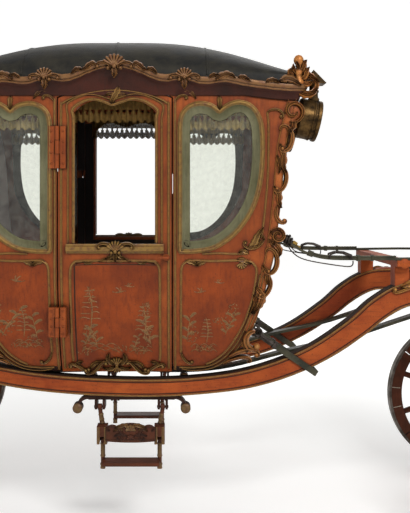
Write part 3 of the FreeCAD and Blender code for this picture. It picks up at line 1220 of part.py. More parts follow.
def main():
    build_body()
    build_cornice_and_roof()
    build_doors()
    build_interior()
    build_undercarriage()
    build_suspension()
    build_steps()
    build_fore_carriage()
    build_wheels()
    build_box_seat()
    build_lamps_and_ornaments()
    os.makedirs("parts", exist_ok=True)
    for name, shape in PARTS.items():
        shape.translate(V(-X_MIDDLE, 0, 0))
        solids = len(shape.Solids)
        print(f"{name:24s} solids {solids:3d} valid {shape.isValid()} volume {shape.Volume / 1000:10.1f} cm3")
        shape.exportStep(f"parts/{name}.step")


main()
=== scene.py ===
import bpy
import bmesh
import math
import random
from mathutils import Matrix, Vector
from mathutils.bvhtree import BVHTree


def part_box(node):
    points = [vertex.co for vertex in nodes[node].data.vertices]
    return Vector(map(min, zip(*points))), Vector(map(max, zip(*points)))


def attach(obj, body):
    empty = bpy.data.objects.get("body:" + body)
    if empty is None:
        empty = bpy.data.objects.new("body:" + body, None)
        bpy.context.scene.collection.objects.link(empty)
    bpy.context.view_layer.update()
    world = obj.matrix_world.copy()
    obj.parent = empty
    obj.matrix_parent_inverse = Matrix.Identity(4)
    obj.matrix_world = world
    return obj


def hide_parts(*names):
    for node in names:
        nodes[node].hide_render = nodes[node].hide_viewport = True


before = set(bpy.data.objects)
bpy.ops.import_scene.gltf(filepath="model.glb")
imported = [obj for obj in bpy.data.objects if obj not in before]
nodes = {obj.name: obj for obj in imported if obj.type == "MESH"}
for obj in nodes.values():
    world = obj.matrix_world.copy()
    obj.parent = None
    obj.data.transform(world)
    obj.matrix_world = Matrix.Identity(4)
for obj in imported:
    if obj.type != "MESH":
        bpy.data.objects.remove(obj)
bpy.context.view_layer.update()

scene = bpy.context.scene

# The camera stands 1.5 m from the coach's middle, level with its windows, and looks across it.
# The picture is cut from the left and upper part of a wider one, so the lens is shifted.
door_low, door_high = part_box("door_right")
door_x = (door_low.x + door_high.x) / 2
camera_data = bpy.data.cameras.new("camera")
camera_data.sensor_width = 36.0
camera_data.lens = 57.5
camera_data.shift_x = 0.0585
camera_data.shift_y = -0.1043
camera_data.clip_end = 50.0
camera = bpy.data.objects.new("camera", camera_data)
camera.location = (door_x + 0.0963, -1.497, 0.545)
camera.rotation_euler = (math.radians(90), 0, 0)
scene.collection.objects.link(camera)
scene.camera = camera
scene.view_settings.view_transform = "Standard"


# The photographer's table is white paper that runs back into a white wall. It takes the coach's soft
# shadow. The camera and the polished metal see it as white, and whiter towards the wall. Three
# softboxes light the coach, from both sides of the camera and from behind.
def linear(code):
    """The linear colour of an sRGB hex code."""
    parts = [int(code[i:i + 2], 16) / 255 for i in (1, 3, 5)]
    return tuple(p / 12.92 if p <= 0.04045 else ((p + 0.055) / 1.055) ** 2.4 for p in parts) + (1.0,)


def add(tree, kind, values=None):
    """Adds a node. A value is a setting, a hex colour, or the node or socket that feeds an input."""
    made = tree.nodes.new("ShaderNode" + kind)
    for name, value in (values or {}).items():
        if isinstance(value, bpy.types.Node):
            value = value.outputs[0]
        if isinstance(value, bpy.types.NodeSocket):
            tree.links.new(value, made.inputs[name])
        elif isinstance(name, int) or name in made.inputs:
            made.inputs[name].default_value = linear(value) if isinstance(value, str) else value
        else:
            setattr(made, name, value)
    return made


def new_material(name):
    """An empty material and its node tree."""
    material = bpy.data.materials.new(name)
    material.use_nodes = True
    material.node_tree.nodes.clear()
    return material, material.node_tree


def skin(mesh, rings, closed=False, capped=True, around=True):
    """Joins rings of corners with faces: closed runs back to the first one, capped closes both ends."""
    size = len(rings[0])
    for first, second in zip(rings, rings[1:] + (rings[:1] if closed else [])):
        for k in range(size if around else size - 1):
            after = (k + 1) % size
            mesh.faces.new((first[k], first[after], second[after], second[k]))
    if capped and not closed:
        for ring in (rings[0], rings[-1]):
            mesh.faces.new(ring)


paper, tree = new_material("white_paper")
light_path = add(tree, "LightPath")
direct = add(tree, "Math", {
    "operation": "MAXIMUM", 0: light_path.outputs["Is Camera Ray"], 1: light_path.outputs["Is Glossy Ray"]})
depth = add(tree, "SeparateXYZ", {0: add(tree, "TexCoord").outputs["Object"]})
# Painted light: the paper glows for camera and glossy rays, more strongly towards the wall
paper_glow_towards_wall = add(tree, "MapRange", {
    "From Min": -0.2, "From Max": 3.6, "To Min": 0.24, "To Max": 0.5356, "Value": depth.outputs["Y"]})
paper_shine = add(tree, "Emission", {"Color": "#ffffff", "Strength": paper_glow_towards_wall})
paper_matt = add(tree, "BsdfDiffuse", {"Color": "#f4f4f2"})
paper_seen = add(tree, "AddShader", {0: paper_matt, 1: paper_shine})
add(tree, "OutputMaterial", {"Surface": add(tree, "MixShader", {0: direct, 1: paper_matt, 2: paper_seen})})

PAPER_HALF_WIDTH = 9.0
PAPER_FRONT = -6.0
BEND_START = 6.5
BEND_RADIUS = 1.6
WALL_TOP = 7.0
profile = [(PAPER_FRONT + (BEND_START - PAPER_FRONT) * i / 12, 0.0) for i in range(12)]
for i in range(13):
    turn = i / 24 * math.pi
    profile.append((BEND_START + BEND_RADIUS * math.sin(turn), BEND_RADIUS - BEND_RADIUS * math.cos(turn)))
profile.append((BEND_START + BEND_RADIUS, WALL_TOP))
sweep_mesh = bmesh.new()
skin(sweep_mesh, [[sweep_mesh.verts.new((x, y, z)) for x in (-PAPER_HALF_WIDTH, PAPER_HALF_WIDTH)]
                  for y, z in profile], capped=False, around=False)
paper_data = bpy.data.meshes.new("paper_sweep")
sweep_mesh.to_mesh(paper_data)
paper_data.materials.append(paper)
paper_data.polygons.foreach_set("use_smooth", [True] * len(paper_data.polygons))
paper_sweep = bpy.data.objects.new("paper_sweep", paper_data)
scene.collection.objects.link(paper_sweep)

world = bpy.data.worlds.new("studio")
scene.world = world
world.use_nodes = True
tree = world.node_tree
tree.nodes.clear()
light_path = add(tree, "LightPath")
room = add(tree, "Background", {"Color": "#ffffff", "Strength": 0.5})
white = add(tree, "Background", {"Color": "#ffffff", "Strength": 1.0})
direct = add(tree, "Math", {
    "operation": "MAXIMUM", 0: light_path.outputs["Is Camera Ray"],
    1: light_path.outputs["Is Transmission Ray"]})
add(tree, "OutputWorld", {"Surface": add(tree, "MixShader", {0: direct, 1: room, 2: white})})

for name, place, size, watts in (
        ("key_softbox", (1.2, -2.3, 2.3), 1.0, 56.0),
        ("fill_softbox", (-1.9, -2.0, 1.2), 1.4, 12.0),
        ("back_softbox", (0.2, 2.2, 2.0), 1.6, 16.0)):
    lamp_data = bpy.data.lights.new(name, "AREA")
    lamp_data.energy = watts
    lamp_data.size = size
    lamp = bpy.data.objects.new(name, lamp_data)
    lamp.location = Vector(place) + Vector((door_x, 0, 0))
    lamp.rotation_euler = (Vector((door_x, 0, 0.45)) - lamp.location).to_track_quat("-Z", "Y").to_euler()
    scene.collection.objects.link(lamp)


# The body's sides, ends, floor and doors are thin limewood boards, japanned in red over a brown
# ground. The lacquer is rubbed through to the brown on edges and crazed all over.
def mottle(tree, size, detail, roughness=0.5, drawn_out=""):
    """A cloudy pattern in patches of a size in millimetres, drawn out along an axis where one is named."""
    place = add(tree, "TexCoord").outputs["Object"]
    if drawn_out:
        place = add(tree, "Mapping", {
            "Scale": [0.12 if axis == drawn_out else 1.0 for axis in "XYZ"], "Vector": place})
    return add(tree, "TexNoise", {
        "Scale": 1000 / size, "Detail": detail, "Roughness": roughness, "Vector": place}).outputs[0]


def stain(tree, under, over, pattern, low=0.0, high=1.0, least=0.0, most=1.0):
    """Lays a colour over another, by a share from least to most where a pattern goes from low to high."""
    share = add(tree, "MapRange", {
        "From Min": low, "From Max": high, "To Min": least, "To Max": most, "Value": pattern})
    return add(tree, "Mix", {"data_type": "RGBA", 6: under, 7: over, 0: share}).outputs[2]


def corner_dirt_and_shade(tree, under, darkening, reach, low, high, most):
    """Darkens the corners, as far as a reach in metres from another face: dirt in some finishes, painted
    shade in others.
    """
    open_sky = add(tree, "AmbientOcclusion", {"samples": 4, "Distance": reach}).outputs["AO"]
    return stain(tree, under, darkening, open_sky, low, high, most, 0.0)


def edge_wear_and_highlight(tree, under, over, radius, low, high, most):
    """Lays a colour on the edges, where the rounded normal parts from the flat one; gives that normal too."""
    rounded = add(tree, "Bevel", {"samples": 4, "Radius": radius})
    flat = add(tree, "NewGeometry").outputs["Normal"]
    along = add(tree, "VectorMath", {"operation": "DOT_PRODUCT", 0: rounded, 1: flat}).outputs["Value"]
    return stain(tree, under, over, along, low, high, 0.0, most), rounded


def surfaced(material, tree, values):
    """Closes a material with a principled shader."""
    add(tree, "OutputMaterial", {"Surface": add(tree, "BsdfPrincipled", values)})
    return material


def old_paint(name, ground, shade, rubbed, roughness=0.42, patch=55.0, craze=9.0, brushed_along="Z"):
    """Oil paint or lacquer on wood that has darkened in clouds, crazed and rubbed thin on edges."""
    material, tree = new_material(name)
    clouds = mottle(tree, patch, 5.0, 0.6)
    tone = stain(tree, ground, shade, clouds, 0.36, 0.66)
    # Rubbing follows the brush in strokes 4 mm wide, up and down or along a rail
    strokes = mottle(tree, 4.0, 3.0, drawn_out=brushed_along)
    tone = stain(tree, tone, rubbed, strokes, 0.5, 0.78, 0.0, 0.5)
    # Specks of dirt and lost paint, 2 mm across
    tone = stain(tree, tone, "#3a2113", mottle(tree, 2.2, 2.0), 0.62, 0.72, 0.0, 0.55)
    # Painted shade: the paint darkens in the corners beside the mouldings, within 8 mm of another face
    tone = corner_dirt_and_shade(tree, tone, "#26140a", 0.008, 0.4, 0.92, 0.85)
    tone, rounded = edge_wear_and_highlight(tree, tone, rubbed, 0.0016, 0.995, 0.9, 0.75)
    place = add(tree, "TexCoord").outputs["Object"]
    cracks = add(tree, "TexVoronoi", {"feature": "DISTANCE_TO_EDGE", "Scale": 1000 / craze, "Vector": place})
    crack_range = add(tree, "MapRange", {"From Min": 0.0, "From Max": 0.04, "Value": cracks})
    height = add(tree, "Math", {"operation": "MULTIPLY_ADD", 0: strokes, 1: 0.5, 2: crack_range})
    bump = add(tree, "Bump", {"Strength": 0.25, "Distance": 0.0006, "Height": height, "Normal": rounded})
    gloss = add(tree, "MapRange", {"To Min": roughness, "To Max": roughness + 0.18, "Value": clouds})
    return surfaced(material, tree, {
        "IOR": 1.5, "Specular IOR Level": 0.22, "Base Color": tone, "Roughness": gloss, "Normal": bump})


def dress(material, *names):
    """Gives CAD pieces their material."""
    for name in names:
        slots = nodes[name].data.materials
        slots.clear()
        slots.append(material)


red_japan = old_paint("orange_japanned_limewood", "#984a1b", "#783410", "#4a220e")
dress(red_japan, "side_wall_left", "side_wall_right", "front_wall", "rear_wall", "door_left", "door_right")
# The floor and the bench boxes are coloured near black, as painted shade for the dark inside of the coach
interior_shade_paint = old_paint("near_black_interior_shade", "#24100a", "#1a0b06", "#100805")
dress(interior_shade_paint, "body_floor", "seat_boxes")


# Old drawn window glass, 2 mm thick and grey with dust, is held in by the mouldings.
# Its ripples are a hand's width apart, scaled to the model.
old_glass, tree = new_material("old_window_glass")
ripples = add(tree, "Bump", {"Strength": 0.08, "Distance": 0.0015, "Height": mottle(tree, 45.0, 0.0)})
dust = add(tree, "MapRange", {
    "From Min": 0.3, "From Max": 0.8, "To Min": 0.0, "To Max": 0.06, "Value": mottle(tree, 8.0, 6.0)})
clear = add(tree, "BsdfTransparent", {"Color": "#fbfcf9"})
shine = add(tree, "BsdfGlossy", {"Color": "#ffffff", "Roughness": 0.06, "Normal": ripples})
# A pane mirrors 4 parts in 100 seen square on and more at a slant, from either face
slant = add(tree, "LayerWeight", {"Blend": 0.5, "Normal": ripples})
steep = add(tree, "Math", {"operation": "POWER", 0: slant.outputs["Facing"], 1: 5.0})
mirrored_share = add(tree, "Math", {"operation": "MULTIPLY_ADD", 0: steep, 1: 0.96, 2: 0.04})
pane = add(tree, "MixShader", {0: mirrored_share, 1: clear, 2: shine})
film = add(tree, "BsdfDiffuse", {"Color": "#c9cabd"})
add(tree, "OutputMaterial", {"Surface": add(tree, "MixShader", {0: dust, 1: pane, 2: film})})
dress(old_glass, "window_glass")


# The mouldings round the windows and panels are limewood, carved in place, laid with gold leaf over
# a red-brown bole. The gold has gone to a dull bronze in the hollows, and its crests carry a painted
# highlight of brighter gold.
def old_gilding(name, gold, hollow, bole, metal=0.55):
    """Gold leaf on carved wood, dirty in the hollows, with a painted highlight of brighter gold on the
    crests.
    """
    material, tree = new_material(name)
    patches = mottle(tree, 6.0, 5.0, 0.65)
    tone = stain(tree, gold, bole, patches, 0.46, 0.7)
    # Painted highlight: a brighter gold on the crests, where the light catches them
    tone = edge_wear_and_highlight(tree, tone, "#c08245", 0.0012, 0.985, 0.86, 0.6)[0]
    # Dirt lies wherever a fingertip can't reach
    tone = corner_dirt_and_shade(tree, tone, hollow, 0.006, 0.5, 0.97, 0.95)
    grain = mottle(tree, 1.6, 2.0)
    bump = add(tree, "Bump", {"Strength": 0.3, "Distance": 0.0005, "Height": grain})
    metallic = add(tree, "MapRange", {
        "From Min": 0.46, "From Max": 0.7, "To Min": metal, "To Max": 0.15, "Value": patches})
    gloss = add(tree, "MapRange", {"To Min": 0.34, "To Max": 0.6, "Value": grain})
    return surfaced(material, tree, {
        "Base Color": tone, "Metallic": metallic, "Roughness": gloss, "Normal": bump})


bronze_gilding = old_gilding("bronzed_gold_leaf", "#8a6a34", "#22160b", "#5c321a")


def at(x, y, z):
    """A place in millimetres from the floor under the middle of the doors."""
    return Vector((door_x + x / 1000, y / 1000, z / 1000))


BELT_Z = 462.0
HALF_WIDE = -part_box("side_wall_right")[0].y * 1000
TURN_R = 386.3


def side_y(z, out=0.0):
    """Half the body's width at a height, in millimetres: upright above the belt, rounded in below it."""
    if z >= BELT_Z:
        return HALF_WIDE + out
    return HALF_WIDE - TURN_R + math.sqrt((TURN_R + out) ** 2 - (BELT_Z - z) ** 2)


def on_side(x, z, out):
    """A point a given height above the coach's right side."""
    return at(x, -side_y(z, out), z)


def smooth(points, steps=6, closed=False):
    """A smooth line through points."""
    count = len(points)
    line = []
    for i in range(count if closed else count - 1):
        near = [points[(i + k) % count if closed else min(max(i + k, 0), count - 1)] for k in (-1, 0, 1, 2)]
        for j in range(steps):
            t = j / steps
            line.append(tuple(0.5 * (
                2 * b + (c - a) * t + (2 * a - 5 * b + 4 * c - d) * t ** 2 + (3 * b - a - 3 * c + d) * t ** 3)
                for a, b, c, d in zip(*near)))
    return line if closed else line + [tuple(points[-1])]


def sweep(mesh, line, section, place, closed=False):
    """Carves a section of (across, up) pairs along a line; it may change with the share of the way."""
    count = len(line)
    rings = []
    for i, (a, b) in enumerate(line):
        before = line[i - 1 if closed else max(i - 1, 0)]
        after = line[(i + 1) % count if closed else min(i + 1, count - 1)]
        run, rise = after[0] - before[0], after[1] - before[1]
        length = math.hypot(run, rise) or 1.0
        share = i / count if closed else i / (count - 1)
        rings.append([mesh.verts.new(place(a - rise / length * across, b + run / length * across, up))
                      for across, up in (section(share) if callable(section) else section)])
    skin(mesh, rings, closed)


def bead(width, height, foot=-0.6):
    """The section of a half-round moulding with a small fillet on each side."""
    half = width / 2
    points = [(-half, foot), (-half, height * 0.3), (-half * 0.72, height * 0.38)]
    for i in range(1, 6):
        angle = math.pi * (1 - i / 6)
        points.append((half * 0.62 * math.cos(angle), height * (0.35 + 0.65 * math.sin(angle))))
    points += [(half * 0.72, height * 0.38), (half, height * 0.3), (half, foot)]
    return points


def carved(width, height, foot=-0.8):
    """The section of a scroll's band: two ridges with a groove, swelling between its ends."""
    half = width / 2
    ridge = [(-1.0, 0.0), (-0.86, 0.55), (-0.6, 0.95), (-0.25, 0.72), (0.0, 0.6), (0.3, 0.85), (0.66, 1.0),
             (0.9, 0.5), (1.0, 0.0)]

    def section(share):
        swell = 0.42 + 0.58 * math.sin(math.pi * share) ** 0.7
        top = height * (0.6 + 0.4 * swell)
        band = half * swell
        return [(-band, foot)] + [(u * band, h * top) for u, h in ridge] + [(band, foot)]
    return section


def scroll_line(start, end, bend, turns_start, turns_end, steps=44):
    """A C or S scroll between two points; bend is its turn in the middle, turns wind up its ends."""
    tight = 0.1
    heading = 0.0
    x = z = 0.0
    raw = [(0.0, 0.0)]
    fine = 6
    for i in range(steps * fine):
        s = (i + 0.5) / (steps * fine)
        curl = bend + 2 * math.pi / tight * (
            turns_start * math.exp(-s / tight) + turns_end * math.exp(-(1 - s) / tight))
        heading += curl / (steps * fine)
        x += math.cos(heading)
        z += math.sin(heading)
        if (i + 1) % fine == 0:
            raw.append((x, z))
    span = complex(*raw[-1])
    turn = (complex(*end) - complex(*start)) / span
    turned = [complex(*start) + complex(*point) * turn for point in raw]
    return [(spot.real, spot.imag) for spot in turned]


def boss(mesh, centre, radius, height, place):
    """A round bud."""
    rings = []
    for j in range(4):
        tilt = j * math.pi / 8
        rings.append([mesh.verts.new(place(
            centre[0] + radius * math.cos(tilt) * math.cos(k * math.pi / 5),
            centre[1] + radius * math.cos(tilt) * math.sin(k * math.pi / 5),
            height * math.sin(tilt) - (0.0 if j else 0.8))) for k in range(10)])
    skin(mesh, rings, capped=False)
    mesh.faces.new(rings[0])
    tip = mesh.verts.new(place(*centre, height))
    for k in range(10):
        mesh.faces.new((rings[3][k], rings[3][(k + 1) % 10], tip))


def scroll(mesh, start, end, width, height, place, bend, turns, foot=-0.8, buds=True):
    """A carved C scroll (both turns of one sign) or S scroll, with a bud in the eye of each end."""
    sweep(mesh, scroll_line(start, end, bend, *turns), carved(width, height, foot), place)
    for point, wound in ((start, turns[0]), (end, turns[1])):
        if buds and abs(wound) > 0.3:
            boss(mesh, point, width * 0.52, height * 1.15, place)


def leaf(mesh, points, width, height, place, lobes=4, foot=-0.8):
    """An acanthus leaf along its rib: lobed edges, a raised rib and a tip that curls up."""
    def section(share):
        half = width / 2 * math.sin(math.pi * min(share ** 0.75, 0.985)) ** 0.8
        half *= 0.7 + 0.3 * abs(math.cos(lobes * math.pi * share))
        half += width * 0.03
        lift = height * (0.75 + 0.5 * share * share)
        crest = 0.75 + 0.25 * abs(math.cos(lobes * math.pi * share))
        side = [(half * 0.22, lift * 0.6), (half * 0.62, lift * crest), (half, 0.25 * lift), (half, foot)]
        return [(-u, h) for u, h in side[::-1]] + [(0.0, lift)] + side
    sweep(mesh, smooth(points, 7), section, place)


def shell(mesh, centre, radius, first, last, height, place, ribs=7, foot=-0.8):
    """A fluted shell: a fan from one angle to another, in degrees, round its hinge."""
    steps = ribs * 6
    line = []
    for i in range(steps + 1):
        angle = math.radians(first + (last - first) * i / steps)
        line.append((centre[0] + radius * 0.5 * math.cos(angle), centre[1] + radius * 0.5 * math.sin(angle)))
    outward = -1 if last > first else 1

    def section(share):
        flute = abs(math.sin(ribs * math.pi * share))
        inner, outer = -radius * 0.4, radius * (0.36 + 0.14 * flute)
        top = height * (0.55 + 0.45 * flute)
        row = [(inner, foot), (inner, height * 0.75), (inner * 0.4, height * 0.6), (outer * 0.3, top * 0.85),
               (outer * 0.75, top), (outer, top * 0.45), (outer, foot)]
        return [(outward * u, h) for u, h in row]
    sweep(mesh, line, section, place)
    boss(mesh, centre, radius * 0.24, height * 1.2, place)


def ornament(mesh, place, forms, signs=(1, -1)):
    """Carves forms of (kind, points, width, height, more), each with its mirror image fore and aft."""
    for sign in signs:
        for kind, points, width, height, *more in forms:
            line = [(sign * x, z) for x, z in points]
            if kind is leaf:
                leaf(mesh, line, width, height, place, *more)
            elif kind is scroll:
                bend, turns, *rest = more
                scroll(mesh, *line, width, height, place, sign * bend, [sign * turn for turn in turns], *rest)
            elif kind is boss:
                boss(mesh, line[0], width, height, place)
            else:
                sweep(mesh, kind(line), bead(width, height), place)


def piece(name, mesh, material, body, stands_for=(), both=False, sharp=45.0):
    """Makes a finished mesh a piece that rides on a body; both adds its mirror image on the other side."""
    if both:
        copy = bmesh.ops.duplicate(mesh, geom=mesh.verts[:] + mesh.edges[:] + mesh.faces[:])["geom"]
        for item in copy:
            if isinstance(item, bmesh.types.BMVert):
                item.co.y = -item.co.y
    mesh.normal_update()
    bmesh.ops.recalc_face_normals(mesh, faces=mesh.faces)
    for edge in mesh.edges:
        if len(edge.link_faces) == 2 and edge.calc_face_angle() > math.radians(sharp):
            edge.smooth = False
    for face in mesh.faces:
        face.smooth = True
    data = bpy.data.meshes.new(name)
    mesh.to_mesh(data)
    mesh.free()
    data.materials.append(material)
    made = bpy.data.objects.new(name, data)
    scene.collection.objects.link(made)
    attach(made, body)
    if stands_for:
        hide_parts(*stands_for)
    return made


def fore_and_aft(points):
    """A line on the front quarter and its mirror image on the rear one."""
    return points, [(-x, z) for x, z in points]


QUARTER_WINDOW = smooth([
    (104, 470), (104, 500), (104, 560), (104, 640), (104.5, 672), (109, 689), (120, 700), (136, 704.5),
    (152, 702), (162, 696), (167.5, 692), (174, 697), (186, 704), (200, 706.5), (215, 702), (227, 690),
    (234.5, 670), (236.5, 640), (236, 610), (232, 575), (224, 546), (211, 520), (193, 497.5), (174, 482),
    (155, 472.5), (134, 468.5), (112, 467.5)], 3, closed=True)
mouldings = bmesh.new()
for outline in fore_and_aft(QUARTER_WINDOW):
    sweep(mouldings, outline, bead(7.5, 4.2), on_side, closed=True)

PILLAR_X = 96.5
LOWER_PANEL = [
    (106, 300), (106, 360), (106, 420), (107, 441), (113, 450), (124, 452.5), (160, 452), (195, 453),
    (214, 451.5), (223, 446), (227, 436), (224, 408), (218, 380), (208, 350), (194, 322), (178, 299),
    (160, 284), (148, 278)]
ornament(mouldings, on_side, [
    # A bead runs down each pillar beside the door and turns over in a scroll under the cornice
    (list, [(PILLAR_X, z) for z in (268, 300, 340, 380, 420, 460, 520, 600, 680, 712)], 3.6, 2.8),
    (scroll, [(PILLAR_X, 706), (114, 713)], 4.5, 3.2, -2.2, (0.0, -0.9)),
    (leaf, [(101, 722), (112, 726), (124, 720), (130, 712)], 9, 3.0, 3),
    # The belt rail has a gilt line above and below it, broken by small leaves
    (smooth, [(140, 463.5), (165, 464.5), (190, 463.5), (213, 464)], 3.2, 2.6),
    (smooth, LOWER_PANEL, 3.6, 3.0),
    (scroll, [(106, 302), (124, 282)], 5.0, 3.6, 1.2, (0.0, 1.0)),
    (leaf, [(113, 452), (124, 450), (134, 444)], 9, 3.4, 3),
    (leaf, [(146, 452), (137, 449), (129, 444)], 9, 3.4, 3),
    (leaf, [(196, 455), (208, 452), (218, 447)], 10, 3.6, 3),
    # The strip between the window and the corner post ends in a C scroll at top and bottom
    (smooth, [(244, 690), (246, 670), (246, 630), (245, 590), (242, 550), (238, 512), (235, 490)], 3.2, 2.8),
    (scroll, [(244, 690), (266, 684)], 4.6, 3.2, -2.4, (0.0, -0.8)),
    (scroll, [(236, 494), (209, 481)], 5.0, 3.6, -2.2, (-0.2, -1.0)),
    (leaf, [(214, 470), (223, 480), (229, 493), (238, 506)], 13, 3.6, 5),
    (leaf, [(221, 476), (232, 480), (240, 488)], 8, 3.2, 3),
    (leaf, [(214, 464), (206, 468), (198, 466)], 9, 3.2, 3),
    # A cusp leaf fills the notch of the heart
    (leaf, [(167, 716), (168, 706), (167, 692)], 9, 3.4, 3)])
# Two lines sweep up from the sill along the corner post
ornament(mouldings, on_side, [(smooth, [
    (104 + gap * 0.4, 272 - gap * 0.25), (130, 271.5 - gap * 0.6), (158 + gap * 0.3, 277 - gap * 0.5),
    (184 + gap * 0.6, 297 - gap * 0.4), (203 + gap * 0.7, 326), (217 + gap * 0.7, 360),
    (226 + gap * 0.6, 392), (233 + gap * 0.55, 430)], 3.4, 3.4) for gap in (0.0, 9.0)])
for x in (203, -203):
    shell(mouldings, (x, 449), 10, 200, 340, 3.6, on_side, 5)
piece("gilt_mouldings", mouldings, bronze_gilding, "coach", ("panel_mouldings",), both=True)

# Inside each quarter window, between its bead and the glass, stands a deep cove of limewood. It is
# painted in oil, a dull grey-green that has yellowed.
grey_green = old_paint("grey_green_oil_paint", "#6f6c50", "#565438", "#3d3a28", 0.5)
coves = bmesh.new()
cove = [(0.0, 1.2), (3.0, 1.6), (5.0, -0.4), (8.0, -2.4), (11.5, -3.0), (14.0, -1.8), (16.5, -1.6),
        (16.5, -4.6), (0.0, -4.6)]
for side, outline in zip((1, -1), fore_and_aft(QUARTER_WINDOW)):
    sweep(coves, outline, [(-side * u, h) for u, h in cove], on_side, closed=True)
piece("quarter_window_coves", coves, grey_green, "coach", both=True)


# Each door is a limewood board with carved mouldings: a double line round the two-lobed window, a
# heavy sill with a shell, and a sunk panel with scrollwork along its foot.
ARCH_HALF = [(0, 725.5), (30, 723), (60, 716), (83, 705), (86, 696), (86, 600), (86, 460), (86, 340),
             (86, 270)]
WINDOW_HEAD = [(-68, 693), (-60, 702), (-44, 709.5), (-30, 710.5), (-16, 706.5), (-4, 702.5), (8, 706),
               (24, 711), (38, 710.5), (54, 704), (68, 693)]
FRAME_HALF = [(0, 452.5), (56, 452), (66, 449), (71, 440), (72, 420), (72, 360), (72, 300), (71, 284)]
WINDOW_HALF = 66
carving = bmesh.new()
for half, width, height in ((ARCH_HALF, 3.6, 3.0), (FRAME_HALF, 3.8, 3.2)):
    whole = [(-x, z) for x, z in half[:0:-1]] + half
    sweep(carving, smooth(whole, 4), bead(width, height), on_side)
for out, width, height in ((0.5, 4.6, 3.6), (9.0, 3.2, 3.0)):
    jamb = [(WINDOW_HALF + out, z) for z in (481, 560, 640, 680)]
    head = [(x * (1 + out / WINDOW_HALF), z + out * 0.9) for x, z in WINDOW_HEAD]
    sweep(carving, smooth([(-x, z) for x, z in jamb] + head + jamb[::-1], 5), bead(width, height), on_side)
sill = [(-7.5, -0.6), (-7.5, 3.0), (-5.0, 3.4), (-4.2, 6.5), (-1.0, 8.2), (3.0, 8.0), (5.0, 5.0),
        (7.5, 4.4), (7.5, -0.6)]
sweep(carving, [(x, 472) for x in (-78, -40, 0, 40, 78)], sill, on_side)


def on_sill(x, z, out):
    """A point on the sill's face; its carving stands 1 mm forward of the door's middle."""
    return on_side(x + 1, z, out + 7.0)


shell(carving, (0, 468), 17, 25, 155, 5.0, on_sill, 7)
ornament(carving, on_sill, [(scroll, [(6, 466), (26, 474)], 5.5, 4.2, -1.6, (-0.5, -0.9))])
ornament(carving, lambda x, z, out: on_sill(x, z, out - 7.0), [
    (leaf, [(2, 465), (8, 458), (17, 456)], 8, 3.6, 3)])
ornament(carving, on_side, [
    (leaf, [(1, 468), (0, 460), (1, 450)], 10, 4.4, 3),
    (leaf, [(6, 731), (3, 722), (-3, 712), (-5, 703)], 14, 4.2, 4),
    (leaf, [(4, 716), (12, 719), (20, 716)], 8, 3.2, 3),
    (leaf, [(2, 716), (-7, 720), (-16, 717)], 8, 3.2, 3)], (1,))
# The panel's frame has leaves at the middle of its head and scrolls along its foot
ornament(carving, on_side, [
    (leaf, [(4, 451), (14, 454), (26, 451)], 8, 3.4, 3),
    (leaf, [(34, 452), (44, 449), (52, 452)], 6, 3.0, 3),
    (scroll, [(76, 273), (47, 268)], 6.5, 4.6, 1.1, (0.8, -0.7)),
    (scroll, [(52, 266), (18, 279)], 7.0, 5.0, -1.2, (-0.5, 0.9)),
    (leaf, [(44, 270), (36, 279), (24, 283)], 9, 4.6, 3),
    (leaf, [(70, 271), (64, 280), (56, 282)], 9, 4.4, 3),
    (leaf, [(5, 276), (14, 286), (12, 298)], 10, 4.8, 4),
    (leaf, [(4, 273), (14, 268), (24, 272)], 8, 4.2, 3)])
shell(carving, (0, 276), 15, 40, 140, 5.6, on_side, 5)
shell(carving, (0, 274), 12, 215, 325, 5.0, on_side, 5)


def pair(name, mesh, material, body, stands_for=""):
    """A piece on the coach's right and its mirror image on the left; names and bodies say the side."""
    made = piece(name + "_right", mesh, material, body + "_right_body")
    data = made.data.copy()
    data.transform(Matrix.Diagonal((1, -1, 1, 1)))
    data.flip_normals()
    twin = bpy.data.objects.new(name + "_left", data)
    scene.collection.objects.link(twin)
    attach(twin, body + "_left_body")
    if stands_for:
        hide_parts(stands_for + "_right")
        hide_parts(stands_for + "_left")


pair("door_carving", carving, bronze_gilding, "door", "door_moulding")

# Carved limewood, gilt and worn to the orange bole, runs down the four corner posts and stands out
# beyond them: leaves and C scrolls under the cornice, a coil at the belt, a long leaf to the toe.
CORNER_LEAVES = [
    ([(286, 676), (286, 668), (280, 660)], 11, 4), ([(276, 668), (279, 660), (276, 652)], 8, 3),
    ([(264, 640), (270, 622), (270, 604), (273, 594)], 12, 4), ([(259, 622), (264, 606), (262, 592)], 9, 4),
    ([(254, 572), (262, 560), (263, 546), (267, 537)], 12, 4), ([(248, 500), (256, 489), (252, 476)], 9, 4),
    ([(246, 486), (258, 477), (264, 468), (262, 458)], 13, 5),
    ([(236, 446), (244, 432), (244, 420), (247, 412)], 11, 4),
    ([(226, 410), (236, 396), (232, 380), (221, 366)], 15, 6), ([(222, 398), (226, 382), (217, 368)], 9, 4)]
CORNER_SCROLLS = [
    ((266, 662), (268, 632), 8.0, -2.2, (-0.5, -1.0)), ((262, 600), (259, 568), 7.0, -1.5, (-0.4, -0.8)),
    ((260, 540), (271, 517), 7.5, 2.0, (0.0, 0.75)), ((243, 466), (246, 436), 7.5, -2.0, (-0.5, -0.9)),
    ((240, 426), (233, 398), 7.0, -1.5, (-0.4, -0.8))]
